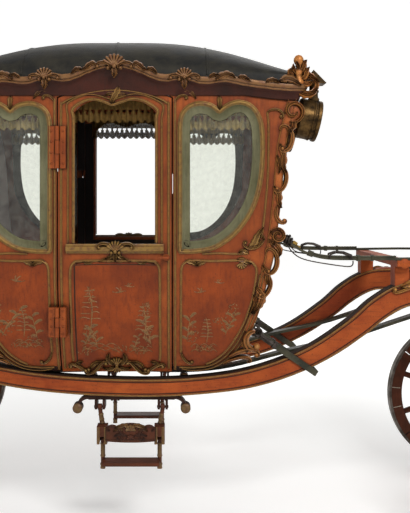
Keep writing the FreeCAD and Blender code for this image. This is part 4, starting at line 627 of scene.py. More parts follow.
# The carving reaches this far back into the post
DEEP = -11.0
corners = bmesh.new()
backings = bmesh.new()
for sign in (1, -1):
    post = smooth([(sign * x, z) for x, z in (
        (288, 724), (281, 700), (274, 670), (267, 638), (263, 596), (260, 558), (254.5, 510), (248, 462),
        (239, 424), (230, 388), (222, 360), (213, 336))])
    sweep(backings, post, [(-6.5, DEEP), (-6.5, 1.2), (-4, 1.9), (4, 1.9), (6.5, 1.2), (6.5, DEEP)], on_side)
    for across in (-6.0, 6.2):
        sweep(corners, [(x + across, z) for x, z in post], bead(2.2, 3.2, DEEP), on_side)
    # A great volute under the cornice and a coil at the belt wind round sunk eyes
    for x, z, radius, inner, first, step, steps, width in (
            (286, 692, 18.5, 5.5, -112, 14, 34, 6.5), (261, 493, 12.5, 3.6, 150, -14, 36, 6.0)):
        ring = []
        for k in range(steps):
            angle = math.radians(first + step * k)
            around = radius + (inner - radius) * k / (steps - 1)
            ring.append((sign * (x + around * math.cos(angle)), z + around * math.sin(angle)))
        sweep(corners, ring, carved(width, 6.0, DEEP), on_side)
ornament(backings, on_side, [(boss, [spot], radius, 2.4) for spot, radius in (
    ((285, 690), 14.5), ((281, 676), 9.0), ((261, 493), 10.0))])
ornament(corners, on_side, [
    (leaf, points, width, 6.2, lobes, DEEP) for points, width, lobes in CORNER_LEAVES])
for start, end, width, bend, turns in CORNER_SCROLLS:
    ornament(corners, on_side, [(scroll, [start, end], width, 5.4, bend, turns, DEEP, False)] + [
        (boss, [spot], width * 0.42, 6.6) for spot, wound in zip((start, end), turns) if abs(wound) > 0.6])
# Between the carving the post is orange paint, rubbed and finely crazed. The leaf on the carving is
# thin, so that the bole shows through it as much as the gold.
corner_paint = old_paint("rubbed_orange_corner_paint", "#a95c27", "#7c3a14", "#5a2c14", 0.4, 30.0, 7.0)
piece("corner_post_backing", backings, corner_paint, "coach", both=True)
corner_gilding = old_gilding("corner_gold_leaf", "#a06c33", "#2c190c", "#a3521f", 0.3)
piece("corner_post_carving", corners, corner_gilding, "coach", ("corner_carvings",), both=True)

# The toe of each corner post is a thick open C scroll over a flat one, where the collar strap's lug
# comes through. It is the same limewood, rubbed orange.
TOE_DEEP = -12.0
LOWEST = 266


def on_toe(x, z, out):
    """A point above the coach's side, upright below the body's foot."""
    return at(x, -side_y(max(z, LOWEST), out + 1.5), z)


toes = bmesh.new()
ornament(toes, on_toe, [
    (scroll, [(226, 336), (229, 311)], 11.0, 7.0, 2.9, (0.1, 0.35), TOE_DEEP, False),
    (boss, [(230, 310)], 6.0, 9.0),
    (scroll, [(186, 292), (230, 296)], 9.0, 6.5, -0.9, (0.0, -0.95), TOE_DEEP, False),
    (boss, [(230, 296)], 4.5, 8.0),
    (scroll, [(176, 279), (217, 284)], 7.0, 6.0, -0.7, (0.0, -0.8), TOE_DEEP, False),
    (leaf, [(206, 322), (212, 310), (214, 298)], 12, 6.0, 3, TOE_DEEP)])
piece("corner_toe_scrolls", toes, corner_gilding, "coach", both=True)


# The cornice is a limewood cove under a gilt rail whose edge rises and falls, with a shell over the
# door and at each pillar, and leaves between. The cove is japanned dark red, coloured almost black as
# painted shade under the rail.
END_X = 293.0
CORNICE_OUT = 12.0
SIDE_EDGE = [(0, 768), (14, 767.5), (26, 765), (42, 759), (58, 751.5), (72, 746.5), (84, 745.5), (98, 748),
             (112, 749), (124, 746), (136, 742), (150, 741.5), (164, 744), (177, 745), (190, 742.5),
             (206, 739), (230, 735.5), (256, 732.5), (280, 730.5), (300, 731), (320, 732)]
END_EDGE = [(0, 752), (20, 750), (40, 744), (60, 738.5), (80, 738), (100, 740.5), (118, 741), (136, 737),
            (156, 733), (176, 731), (200, 731), (220, 732)]


def height_at(table, distance):
    """The rail's height at a distance from the middle of a side."""
    distance = abs(distance)
    for (a, low), (b, high) in zip(table, table[1:]):
        if distance <= b:
            t = (distance - a) / (b - a)
            t = t * t * (3 - 2 * t) * 0.5 + t * 0.5
            return low + (high - low) * t
    return table[-1][1]


# Points round the body, clear of its walls: x, y, outward direction and the rail's height there
CORNER_R = 16.0
STEP = 5.0
x_in = END_X + CORNICE_OUT - CORNER_R
y_in = HALF_WIDE + CORNICE_OUT - CORNER_R
turns = [(x_in, -y_in), (x_in, y_in), (-x_in, y_in), (-x_in, -y_in)]
ring = []
for quarter, ((xa, ya), (xb, yb), (nx, ny)) in enumerate(zip(
        turns[-1:] + turns[:3], turns, ((0, -1), (1, 0), (0, 1), (-1, 0)))):
    count = int(math.hypot(xb - xa, yb - ya) / STEP)
    ring += [(xa + (xb - xa) * i / count + CORNER_R * nx, ya + (yb - ya) * i / count + CORNER_R * ny, nx, ny)
             for i in range(count)]
    for i in range(6):
        angle = math.radians(90 * quarter - 90 + 15 * i)
        across, along = math.cos(angle), math.sin(angle)
        ring.append((xb + CORNER_R * across, yb + CORNER_R * along, across, along))
CORNICE = []
for x, y, nx, ny in ring:
    side, end = height_at(SIDE_EDGE, x), height_at(END_EDGE, y)
    rail = side if abs(ny) > abs(nx) else end if abs(nx) > abs(ny) else (side + end) / 2
    CORNICE.append((x, y, nx, ny, rail))


def round_cornice(mesh, section):
    """Sweeps a section of (outward, above the rail's line) or (outward, "z", height) round the cornice."""
    skin(mesh, [[mesh.verts.new(at(x + nx * point[0], y + ny * point[0],
                                   point[2] if len(point) == 3 else rail + point[1]))
                 for point in section] for x, y, nx, ny, rail in CORNICE], closed=True)


cove_mesh = bmesh.new()
round_cornice(cove_mesh, [
    (-11.6, "z", 717.0), (-10.0, "z", 717.0), (-9.6, -22.0), (-7.5, -16.0), (-3.5, -11.0), (0.0, -8.5),
    (1.0, -3.0), (-4.0, -1.0), (-11.6, -2.0)])
# The near-black colour is painted shade over a dark red, which shows as a trace of red where the light falls
# on it
cove_shade_japan = old_paint("dark_red_japan_painted_shade", "#3e170a", "#260e05", "#241107")
piece("cornice_cove", cove_mesh, cove_shade_japan, "coach")

rail_mesh = bmesh.new()
round_cornice(rail_mesh, [
    (-4.0, -7.0), (1.0, -8.0), (2.6, -6.5), (1.6, -4.6), (3.6, -3.2), (4.4, 0.0), (3.4, 2.8), (0.6, 4.0),
    (-2.0, 3.2), (-3.0, 1.0), (-4.0, 0.5)])


def on_rail(x, z, out):
    """A point on the cornice's near long side."""
    return at(x, -(HALF_WIDE + CORNICE_OUT + 2.0 + out), z)


for x, z, radius, spread in ((0, 762, 20, 72), (111, 744, 16, 76), (-111, 744, 16, 76)):
    shell(rail_mesh, (x, z), radius, 90 - spread, 90 + spread, 6.0, on_rail, 7, -8.0)
    leaf(rail_mesh, [(x, z - 1), (x, z - 9), (x, z - 18)], 11, 5.0, on_rail, 3, -4.0)
    ornament(rail_mesh, lambda a, b, out: on_rail(x + a, b, out), [
        (scroll, [(radius * 0.5, z - 3), (radius * 1.35, z - 1)], 6.0, 5.0, -1.5, (-0.6, -0.9))])
ornament(rail_mesh, on_rail, [(leaf, points, width, 5.5, 4, -5.0) for points, width in (
    ([(28, 764), (36, 766), (46, 758), (52, 756)], 10), ([(50, 756), (60, 757), (68, 749)], 9),
    ([(160, 740), (172, 748), (184, 748), (192, 742)], 12), ([(196, 744), (206, 744), (216, 737)], 9),
    ([(150, 743), (158, 748), (166, 747)], 8), ([(262, 738), (274, 742), (286, 738), (296, 730)], 14),
    ([(240, 736), (250, 740), (262, 736)], 9))])
# Hands and dust have dulled the rail's leaf to brown
rail_gilding = old_gilding("dull_rail_gilding", "#7c552c", "#22130a", "#61341b", 0.3)
piece("cornice_rail", rail_mesh, rail_gilding, "coach", ("cornice",))


# The roof is a domed board covered with black harness leather, nailed down all round its edge. The
# leather has dried, with a fine grain and a dull, uneven polish.
def old_leather(name, colour, worn, grain=1.3, roughness=0.55):
    """Dry leather: rubbed in clouds, with sags. Its pebbled grain is drawn coarser than life, to show."""
    material, tree = new_material(name)
    clouds = mottle(tree, 45.0, 8.0, 0.72)
    tone = stain(tree, colour, worn, clouds, 0.4, 0.64)
    place = add(tree, "TexCoord").outputs["Object"]
    pebbles = add(tree, "TexVoronoi", {"Scale": 1000 / grain, "Vector": place})
    height = add(tree, "Math", {"operation": "MULTIPLY_ADD", 0: mottle(tree, 35.0, 2.0), 1: 6.0, 2: pebbles})
    bump = add(tree, "Bump", {"Strength": 0.35, "Distance": 0.0006, "Height": height})
    gloss = add(tree, "MapRange", {"To Min": roughness - 0.1, "To Max": roughness + 0.15, "Value": clouds})
    return surfaced(material, tree, {
        "IOR": 1.45, "Specular IOR Level": 0.3, "Base Color": tone, "Roughness": gloss, "Normal": bump})


roof_leather = old_leather("black_roof_leather", "#12110e", "#2e2a20")
CROWN_Z = 829.0
EAVES_Z = 750.5
EDGE_Z = 730.0
ROOF_HALF_X = 293.5
ROOF_HALF_Y = 186.6


def roof_z(x, y, below=0.0):
    """Height of the leather: level in the middle, falling away to the ends and rounded to the sides."""
    crown = CROWN_Z - 61.0 * (max(abs(x) - 40.0, 0.0) / 250.0) ** 2.15 - below
    share = min(abs(y) / ROOF_HALF_Y, 1.0)
    return EAVES_Z + (crown - EAVES_Z) * (1 - share ** 2.3) ** 0.62


leather = bmesh.new()
COLUMNS = 72
ROWS = 36
sheets = []
for below, narrow in ((0.0, 1.0), (4.0, 0.986)):
    rows = []
    for j in range(-1, ROWS + 2):
        v = math.sin(math.pi / 2 * max(min(2 * j / ROWS - 1, 1.0), -1.0))
        line = []
        for i in range(-1, COLUMNS + 2):
            u = max(min(2 * i / COLUMNS - 1, 1.0), -1.0)
            x, y = u * ROOF_HALF_X, v * ROOF_HALF_Y
            edge = i in (-1, COLUMNS + 1) or j in (-1, ROWS + 1)
            z = EDGE_Z + below if edge else roof_z(x, y, below)
            line.append(leather.verts.new(at(x * narrow, y * narrow, z)))
        rows.append(line)
    skin(leather, rows, capped=False, around=False)
    sheets.append(rows)
skin(leather, [
    rows[0] + [line[-1] for line in rows[1:]] + rows[-1][-2::-1] + [line[0] for line in rows[-2:0:-1]]
    for rows in sheets], capped=False)
piece("leather_roof", leather, roof_leather, "coach", ("roof",), sharp=50.0)
seams = bmesh.new()
welt_section = [(-0.8, -2.2), (0.9, -1.4), (1.3, 0), (0.9, 1.4), (-0.8, 2.2)]
for x in (-150.0, -2.0, 148.0):
    line = [(y, roof_z(x, y)) for y in (ROOF_HALF_Y * math.sin(math.pi * k / 80) for k in range(-40, 41))]
    sweep(seams, line, welt_section, lambda y, z, out: at(x + out, y, z))
piece("roof_seams", seams, roof_leather, "coach")


# Two round lamps of dark brass hang from brackets on the front corners. Each is a drum with a stepped
# rim round a bull's-eye glass, a chimney and a square hood that keeps the rain out.
def lathe(mesh, start, end, profile, sides=20):
    """Turns a profile of (distance along, radius), in millimetres, round the line from start towards end."""
    start, end = Vector(start), Vector(end)
    along = (end - start).normalized()
    across = along.orthogonal().normalized()
    other = along.cross(across)
    rows = []
    for distance, radius in profile:
        centre = start + along * distance
        # A radius of nought closes the form with one point
        angles = [2 * math.pi * k / sides for k in range(sides if radius else 1)]
        rows.append([mesh.verts.new(at(*(centre + (across * math.cos(a) + other * math.sin(a)) * radius)))
                     for a in angles])
    for low, high in zip(rows, rows[1:]):
        for k in range(sides):
            n = k + 1
            around = [low[k % len(low)], low[n % len(low)], high[n % len(high)], high[k % len(high)]]
            unique = list(dict.fromkeys(around))
            if len(unique) > 2:
                mesh.faces.new(unique)
    for row in (rows[0], rows[-1]):
        if len(row) > 1:
            mesh.faces.new(row)


def old_metal(name, bright, dull, roughness=0.4, metal=0.85, patch=12.0):
    """Metal with a patchy tarnish. Its fine scratches are drawn 0.9 mm apart, so that they show."""
    material, tree = new_material(name)
    patches = mottle(tree, patch, 6.0, 0.65)
    tone = stain(tree, bright, dull, patches, 0.4, 0.66)
    # Darker within 4 mm of another face
    tone = corner_dirt_and_shade(tree, tone, "#1c140c", 0.004, 0.5, 0.95, 0.85)
    gloss = add(tree, "MapRange", {
        "From Min": 0.4, "From Max": 0.66, "To Min": roughness, "To Max": roughness + 0.3, "Value": patches})
    bump = add(tree, "Bump", {"Strength": 0.2, "Distance": 0.0003, "Height": mottle(tree, 0.9, 3.0)})
    return surfaced(material, tree, {
        "Metallic": metal, "Base Color": tone, "Roughness": gloss, "Normal": bump})


dark_brass = old_metal("dark_brass", "#604725", "#2c1f0e", 0.44)
LAMP_X = 320.0
LAMP_Y = 139.0
LAMP_Z = 683.0
LAMP_R = 33.0
tilt = math.radians(11.5)
look = Vector((math.cos(tilt), 0, -math.sin(tilt)))
lamps = bmesh.new()
back = Vector((LAMP_X - 4, -LAMP_Y, LAMP_Z)) - look * 20
lathe(lamps, back, back + look, [
    (0, 0), (0, LAMP_R - 9), (1.5, LAMP_R - 1.5), (3.5, LAMP_R), (5, LAMP_R + 0.8), (7, LAMP_R), (24, LAMP_R),
    (25, LAMP_R + 0.8), (27, LAMP_R + 0.8), (28, LAMP_R - 0.8), (31, LAMP_R - 0.8), (32, LAMP_R + 0.8),
    (35, LAMP_R + 1.2), (37, LAMP_R + 1.0), (38, LAMP_R), (38, LAMP_R - 5), (35, LAMP_R - 7)], 40)
chimney = Vector((LAMP_X + 6, -LAMP_Y, LAMP_Z + 28))
lathe(lamps, chimney, chimney + Vector((0, 0, 1)), [
    (0, 9), (6, 9.5), (9, 7.5), (16, 7.2), (17, 8.6), (20, 8.6), (21, 7.2), (34, 7.2)])
arm = Vector((LAMP_X - 60, -LAMP_Y, LAMP_Z - 2))
lathe(lamps, arm, arm + Vector((1, 0, 0)), [(0, 9), (18, 8), (22, 5), (30, 4.2), (40, 6.5), (52, 7)])
# The hood is four plates of sheet brass with their lower edges turned out
eaves, peak, plate = 23.0, LAMP_Z + 83.0, LAMP_Z + 58.0
lathe(lamps, (LAMP_X + 6, -LAMP_Y, plate), (LAMP_X + 6, -LAMP_Y, peak), [
    (0.0, 0), (0.0, eaves + 2), (1.6, eaves + 2.4), (2.2, eaves + 1), (21.0, 4.5), (25.0, 0)], 4)
piece("brass_lamps", lamps, dark_brass, "coach", ("lamps",), both=True, sharp=30.0)
# The cast bull's-eye is nearly opaque with age and soot, with a sharp highlight
lens_glass = surfaced(*new_material("bulls_eye_glass"), {
    "Base Color": "#8d8a78", "Roughness": 0.12, "IOR": 1.5, "Transmission Weight": 0.3})
lenses = bmesh.new()
lathe(lenses, back + look * 34, back + look * 35, [
    (0, LAMP_R - 6), (1.5, LAMP_R - 7), (3.2, 18), (4.6, 9), (5, 0)], 32)
piece("lamp_lenses", lenses, lens_glass, "coach", both=True)

# A leafy finial with a ball stands on each corner of the cornice, and a volute leans out beside it.
# They are carved limewood, the most rubbed gilding on the coach.
orange_gilding = old_gilding("gilding_rubbed_to_bole", "#b97a38", "#3a210f", "#a5551f", 0.45)
FINIAL_X = 293.0
FINIAL_Y = 193.5
FOOT_Z = 736.0
finials = bmesh.new()
for sign in (1, -1):
    lathe(finials, (sign * FINIAL_X, -FINIAL_Y, FOOT_Z - 2), (sign * FINIAL_X, -FINIAL_Y, FOOT_Z), [
        (0, 8), (4, 8.5), (8, 6), (14, 5.2), (20, 6.4), (25, 4.2), (30, 4.6), (33, 6.6), (37, 8.0), (41, 7.6),
        (45, 5), (47, 0)])
# Every leaf has two fronts, back to back. The volute is a leafy C scroll with an open eye.
for side in (1, -1):
    def from_finial(x, z, out):
        """A point in from the finial's middle, towards this front."""
        return at(x, -(FINIAL_Y + side * out), z)

    def from_volute(x, z, out):
        """The same for the volute, which stands 7 mm further in."""
        return at(x, -(FINIAL_Y - 7 + side * out), z)
    ornament(finials, from_finial, [
        (leaf, [(FINIAL_X + a, FOOT_Z + b) for a, b in points], width, height, 4, -0.5)
        for points, width, height in (
            ([(-2, 2), (-10, 8), (-14, 18), (-11, 24)], 11, 5.5),
            ([(2, 4), (10, 10), (13, 20), (17, 25)], 10, 5),
            ([(-1, 14), (-7, 20), (-9, 30)], 9, 5), ([(1, 16), (7, 22), (10, 33), (13, 36)], 9, 5),
            ([(0, 2), (1, 14), (-1, 26), (-5, 33)], 9, 7.5), ([(4, 0), (14, -2), (22, 2)], 10, 5))])
    ornament(finials, from_volute, [(boss, [(FINIAL_X + 11, FOOT_Z + 3)], 3.4, 7.0)] + [
        (leaf, [(FINIAL_X + a, FOOT_Z + b) for a, b in points], 12, 8.0, 5, -1.0) for points in (
            [(1, 12), (12, 15), (24, 9), (33, 1)], [(-3, -8), (8, -17), (22, -17), (31, -8)])])
    for sign in (1, -1):
        ring = []
        for k in range(21):
            radius, angle = 15 - 6.5 * k / 20, math.radians(35 + 15 * k)
            x = FINIAL_X + 18 - radius * math.cos(angle)
            ring.append((sign * x, FOOT_Z - 1 - radius * math.sin(angle)))
        sweep(finials, ring, carved(8.5, 6.5, -1.0), from_volute)
piece("corner_finials", finials, orange_gilding, "coach", ("roof_ornaments",), both=True)


# Lace valances hang inside the heads of the door and quarter windows, gathered on a rod. The lace is
# openwork of gold-brown thread with a row of triangular holes over a scalloped hem.
def gold_lace(name, thread, shade):
    """Bobbin lace of gold-brown thread: a net of holes 3 mm apart."""
    material, tree = new_material(name)
    parts = add(tree, "SeparateXYZ", {0: add(tree, "TexCoord").outputs["Object"]})
    waves = []
    pitch = 2 * math.pi * 1000 / 3.2
    for axis in "XZ":
        turn = add(tree, "Math", {"operation": "MULTIPLY", 0: parts.outputs[axis], 1: pitch})
        waves.append(add(tree, "Math", {"operation": "SINE", 0: turn}))
    net = add(tree, "Math", {"operation": "MULTIPLY", 0: waves[0], 1: waves[1]})
    holes = add(tree, "MapRange", {"From Min": 0.82, "From Max": 0.96, "Value": net})
    tone = stain(tree, thread, shade, mottle(tree, 5.0, 4.0))
    threads = add(tree, "BsdfPrincipled", {"Roughness": 0.85, "Specular IOR Level": 0.2, "Base Color": tone})
    see_through = add(tree, "BsdfTransparent")
    add(tree, "OutputMaterial", {"Surface": add(tree, "MixShader", {0: holes, 1: threads, 2: see_through})})
    return material


# The lace behind the quarter glass is coloured paler than the lace of the doors, as painted light against the
# shade there
door_lace = gold_lace("gold_thread_lace", "#755827", "#261b0c")
quarter_lace = gold_lace("gold_thread_lace_painted_lighter", "#b39a62", "#6a5a34")


SCALLOP = 5
WEAVE_STEP = 1.6
ROWS_DOWN = 12


def valance(name, x0, x1, top, drop, lace, body, side):
    """A gathered strip of lace behind a window; side is -1 on the coach's right."""
    width = x1 - x0
    columns = int(width / WEAVE_STEP)
    mesh = bmesh.new()
    grid = []
    phase = random.Random(len(name)).uniform(0, 6)
    for j in range(ROWS_DOWN + 1):
        line = []
        share = j / ROWS_DOWN
        for i in range(columns + 1):
            x = x0 + width * i / columns
            turn = 2 * math.pi * (x - x0) / 9.0 + phase + 0.8 * math.sin(x / 23)
            fold = 2.6 * (0.35 + 0.65 * share) * math.sin(turn)
            hem = SCALLOP * abs(math.sin(math.pi * (x - x0) / 12.0))
            z = top - share * (drop + hem * (share > 0.9))
            line.append(mesh.verts.new(at(x, side * (HALF_WIDE - 17 + fold), z)))
        grid.append(line)
    for j in range(ROWS_DOWN):
        for i in range(columns):
            # The row of holes is cut right through, three rows deep and pointed at the foot
            spot = ((i * WEAVE_STEP) % 10.0) / 10.0 - 0.5
            if j in (6, 7, 8) and abs(spot) < (9 - j) * 0.11:
                continue
            mesh.faces.new((grid[j][i], grid[j][i + 1], grid[j + 1][i + 1], grid[j + 1][i]))
    made = piece(name, mesh, lace, body)


for side_name, side in (("right", -1), ("left", 1)):
    door, wall = "door_" + side_name, "side_wall_" + side_name
    valance("door_lace_" + side_name, -72, 72, 713, 33, door_lace, door + "_body", side)
    valance("front_quarter_lace_" + side_name, 104, 236, 704, 36, quarter_lace, "coach", side)
    valance("rear_quarter_lace_" + side_name, -236, -104, 704, 36, quarter_lace, "coach", side)

# Two butt hinges of cast brass stand beside the door's rear edge, each leaf held by four screws.
# They are painted over with the body.
dress(red_japan, "body_hinges", "door_fittings_left", "door_fittings_right")
screws = bmesh.new()
door_screws = bmesh.new()
HINGE_X = -92.0
HINGE_Y = -(HALF_WIDE + 4.0)
HINGE_SPANS = ((600.0, 668.0), (330.0, 378.0))
for low, high in HINGE_SPANS:
    for share in (0.12, 0.37, 0.63, 0.88):
        z = low + (high - low) * share
        for mesh, x in ((screws, HINGE_X - 9.5), (door_screws, HINGE_X + 9.5)):
            lathe(mesh, (x, HINGE_Y + 0.3, z), (x, HINGE_Y - 1, z), [
                (0, 2.0), (0.6, 1.9), (1.2, 1.1), (1.3, 0)], 10)
piece("hinge_screws_body", screws, red_japan, "coach", both=True)
pair("hinge_screws_door", door_screws, red_japan, "door")

# Two crane-neck perches of beech, painted orange red. Each edge has a fine moulding with a gilt line and
# a dark one, and a gilt acanthus scroll lies on the outer face where the neck meets the fore bolster.
perch_paint = old_paint("orange_red_coach_paint", "#a54e1c", "#83330f", "#5e2712", 0.52, 70.0, 12.0, "X")
dress(perch_paint, "perch_left", "perch_right", "rear_bolster", "front_bolster", "front_crossbar",
      "rear_crossbar", "footmen_platform", "box_seat", "footboard", "front_axle_bed", "futchells",
      "fore_bolster", "splinter_bar", "pole")
PERCH_OUTER = 138.0
PERCH_INNER = 110.0
PERCH_LINE = [
    (-545, 300, 28), (-453, 300, 28), (-385, 292, 28), (-285, 266.5, 28), (-194, 243.5, 28), (-94, 229.5, 28),
    (40, 223.5, 28), (149.9, 228.5, 28), (239.8, 242.5, 30), (328.2, 274.5, 32), (402.9, 320, 35),
    (444.3, 352, 38), (480.2, 372, 39), (530, 376, 40), (742, 376, 40)]


def perch_edge(inset, upper):
    """A line along a perch's face, a distance in from its upper or lower edge."""
    line = []
    for i, (x, z, depth) in enumerate(PERCH_LINE):
        xa, za = PERCH_LINE[max(i - 1, 0)][:2]
        xb, zb = PERCH_LINE[min(i + 1, len(PERCH_LINE) - 1)][:2]
        length = math.hypot(xb - xa, zb - za)
        up = depth - inset if upper else inset
        line.append((x - up * (zb - za) / length, z + up * (xb - xa) / length))
    return smooth(line, 7)


def on_perch(x, z, out):
    """A point on the right perch's outer face."""
    return at(x, -(PERCH_OUTER + out), z)


def in_perch(x, z, out):
    """A point on its inner face."""
    return at(x, -(PERCH_INNER - out), z)


gilt_lines = bmesh.new()
dark_lines = bmesh.new()
for place in (on_perch, in_perch):
    for upper in (True, False):
        sweep(gilt_lines, perch_edge(1.3, upper), bead(2.4, 1.5), place)
        sweep(dark_lines, perch_edge(4.6, upper), bead(1.6, 0.8), place)
piece("perch_edge_gilding", gilt_lines, bronze_gilding, "coach", both=True)
# The dark line is lamp-black in oil, worn to brown
black_line = old_paint("black_lining_paint", "#2a1a10", "#1a100a", "#4a2c18", 0.5, 20.0, 6.0)
piece("perch_edge_lining", dark_lines, black_line, "coach", both=True)

# The perches' upper faces get a dull dark brown skin between their gilt edges, which is painted shade
perch_top_shade_skin = bmesh.new()
SKIN_Y = (PERCH_OUTER - 2.4, PERCH_INNER + 2.4)
skin(perch_top_shade_skin, [[perch_top_shade_skin.verts.new(at(x, -y, z)) for (x, z), y in (
    (low, SKIN_Y[0]), (low, SKIN_Y[1]), (high, SKIN_Y[1]), (high, SKIN_Y[0]))]
    for low, high in zip(perch_edge(-1.0, True), perch_edge(0.3, True))])
perch_top_shade_paint = old_paint("dull_brown_painted_shade", "#2c1c10", "#1c120a", "#4a3220", 0.85, 30.0, 8.0)
piece("perch_upper_painted_shade", perch_top_shade_skin, perch_top_shade_paint, "coach", both=True)
# The acanthus is gilt wood, with a painted highlight of brighter gold on its crests
bright_gilding = old_gilding("gold_leaf_painted_crest_highlight", "#b98743", "#33200f", "#8c4522", 0.6)
perch_leaves = bmesh.new()
ornament(perch_leaves, on_perch, [
    (scroll, [(461, 401), (500, 408)], 6.5, 4.5, -0.8, (0.85, 0.1), -0.8, False),
    (boss, [(461.5, 401.5)], 3.4, 5.0),
    (leaf, [(470, 405), (492, 412), (520, 411), (552, 406), (592, 402)], 15, 5.5, 6),
    (leaf, [(494, 404), (510, 396), (532, 391), (556, 390)], 10, 4.0, 4),
    (leaf, [(-536, 316), (-500, 318), (-470, 316), (-440, 308)], 13, 4.5, 5)], (1,))
piece("perch_acanthus", perch_leaves, bright_gilding, "coach", both=True)

# The suspension leather is several plies stitched together, dry and greenish brown. The check straps
# run from a knot at the body through a brass nut, a keeper and a big iron buckle over the crossbar.
harness_leather = old_leather("greenish_harness_leather", "#28271b", "#484432", 0.9, 0.5)
dress(harness_leather, "main_braces", "check_straps")
# Wrought iron, blackened with oil and smoke, shows a dull grey only where it is handled
iron = old_metal("blackened_iron", "#4a423c", "#241c17", 0.5, 0.6)
dress(iron, "rear_axle", "front_axle", "upper_turning_plate", "lower_turning_plate", "kingpin", "body_irons",
      "brace_winches", "footboard_irons")
CHECK_Y = 146.0
CHECK_TOP = 4.0
CHECK = [(276, 486), (302, 466), (334, 454), (376, 451), (473, 451), (592, 451)]
check_line = smooth(CHECK, 8)


def between(line, x0, x1):
    """The part of a line that lies between two places along the coach."""
    return [point for point in line if x0 <= point[0] <= x1]


def rod_between(mesh, points, radius, sides=8):
    """A bent rod through points in three dimensions."""
    rings = []
    points = [Vector(point) for point in points]
    for i, point in enumerate(points):
        along = (points[min(i + 1, len(points) - 1)] - points[max(i - 1, 0)]).normalized()
        across = Vector((0, 1, 0)) if abs(along.y) < 0.8 else Vector((1, 0, 0))
        across = (across - along * across.dot(along)).normalized()
        other = along.cross(across)
        rings.append([mesh.verts.new(at(*(point + (across * math.cos(a) + other * math.sin(a)) * radius)))
                      for a in (2 * math.pi * k / sides for k in range(sides))])
    skin(mesh, rings)


TWELFTHS = [math.radians(30 * k) for k in range(13)]
STITCH_HALF = at(0, 0.35, 0) - at(0, 0, 0)
STITCH_TALL = at(0, 0, 0.4) - at(0, 0, 0)
plies = bmesh.new()
irons = bmesh.new()
brass_parts = bmesh.new()
stitches = bmesh.new()
for sign in (1, -1):
    def on_check(x, z, out):
        """A point beside the strap's middle plane, on the front or the rear strap."""
        return at(sign * x, -(CHECK_Y + out), z)

    def strap(points, low, high, half):
        """A flat strap lying along a line, with rounded edges."""
        middle = (low + high) / 2
        sweep(plies, points, [(low, -half), (low, half), (middle, half + 0.4), (high, half), (high, -half),
                              (middle, -half - 0.4)], on_check)

    def wire(points, radius, sides=8):
        """A bent iron rod through points given beside the strap's middle plane."""
        rod_between(irons, [(sign * x, y - CHECK_Y, z) for x, y, z in points], radius, sides)
    end = 468 if sign > 0 else 478
    strap(between(check_line, 318, end), CHECK_TOP + 0.2, CHECK_TOP + 3.0, 5.4)
    for x0, x1 in ((314, 322), (394, 401), (418, 424)):
        strap(between(smooth(CHECK, 40), x0, x1), -1.4, CHECK_TOP + 4.4, 7.2)
    # Two rows of stitches hold the plies together
    run = between(smooth(CHECK, 60), 324, end - 4)
    for mark in list(zip(run, run[1:]))[::3]:
        for y in (-4.0, 4.0):
            spots = [on_check(x, z + CHECK_TOP + 3.0, y) for x, z in mark]
            low, high = ([stitches.verts.new(p + s * STITCH_HALF * narrow + lift) for p, s in (
                (spots[0], 1), (spots[0], -1), (spots[1], -1), (spots[1], 1))]
                for narrow, lift in ((1.0, Vector()), (0.6, STITCH_TALL)))
            skin(stitches, [low, high])
    # The knot at the body, and the nut that takes up the strap's length
    for x, z, radius in ((279, 485.5, 5.6), (283, 484.5, 6.6), (287, 481.0, 5.2)):
        wire([(x + radius * 0.4 * math.cos(a), radius * 1.15 * math.sin(a), z + radius * math.cos(a))
              for a in TWELFTHS], 2.2)
    lathe(brass_parts, (sign * 289, -CHECK_Y, 479.5), (sign * 310, -CHECK_Y, 465.5), [
        (0, 4.5), (0.6, 5.6), (8, 5.6), (8.6, 4.5), (8.7, 2.4), (16, 2.4)], 6)
    # The buckle: a bowed frame round the strap with two bars and a tongue, and an upright loop behind it
    for y in (-8.6, 8.6):
        wire([(x, y, z) for x, z in (
            (350, 455), (351, 461), (360, 464), (372, 463), (384, 458), (385, 452))], 1.8)
    for x, z in ((350, 456), (361, 464), (385, 455)):
        wire([(x, -9, z), (x, 9, z)], 1.9)
    wire([(361, 0, 465), (374, 0, 464), (388, 0, 458.4)], 1.7)
    # The iron hook that hangs slack under the strap
    hook = ((279, 480), (287, 467), (300, 456), (320, 449.5), (352, 444), (380, 440.5), (388, 443),
            (389, 450))
    wire(smooth([(x, -4, z) for x, z in hook], 4), 1.15, 6)
    wire(smooth([(284, 4, 478), (293, 4, 467), (303, 4, 463), (311, 3, 464)], 4), 1.0, 6)
# An iron shackle joins each collar strap to the body: an eye, a bar and a foot, on either side of it
SHACKLE_TOP = Vector((233, 0, 329))
SHACKLE_SIDES = (-143.2, -104.8)
EYE_R = 6.2
shackles = bmesh.new()
down = (Vector((331, 0, 262)) - SHACKLE_TOP).normalized()
for sign in (1, -1):
    for y in SHACKLE_SIDES:
        eye = [(sign * (233 + EYE_R * math.cos(a)), y, 331 + EYE_R * math.sin(a)) for a in TWELFTHS]
        rod_between(shackles, eye, 2.4)
        for places, radius, sides in (((5, 14, 24, 32), 4.2, 6), ((31, 37), 6.2, 8)):
            bar = [SHACKLE_TOP + down * place for place in places]
            rod_between(shackles, [(sign * p.x, y, p.z) for p in bar], radius, sides)
piece("collar_shackles", shackles, iron, "coach", both=True)
piece("check_strap_plies", plies, harness_leather, "coach", both=True)
piece("check_strap_irons", irons, iron, "coach", both=True)
# The nuts are turned by hand, which keeps their brass yellow
yellow_brass = old_metal("worn_yellow_brass", "#c9a455", "#6b4c1c", 0.3)
piece("check_strap_nuts", brass_parts, yellow_brass, "coach", both=True)
# Waxed linen thread is pale and without gloss
waxed_thread = surfaced(*new_material("waxed_linen_thread"), {"Base Color": "#8f8366", "Roughness": 0.8})
piece("check_strap_stitching", stitches, waxed_thread, "coach", both=True)

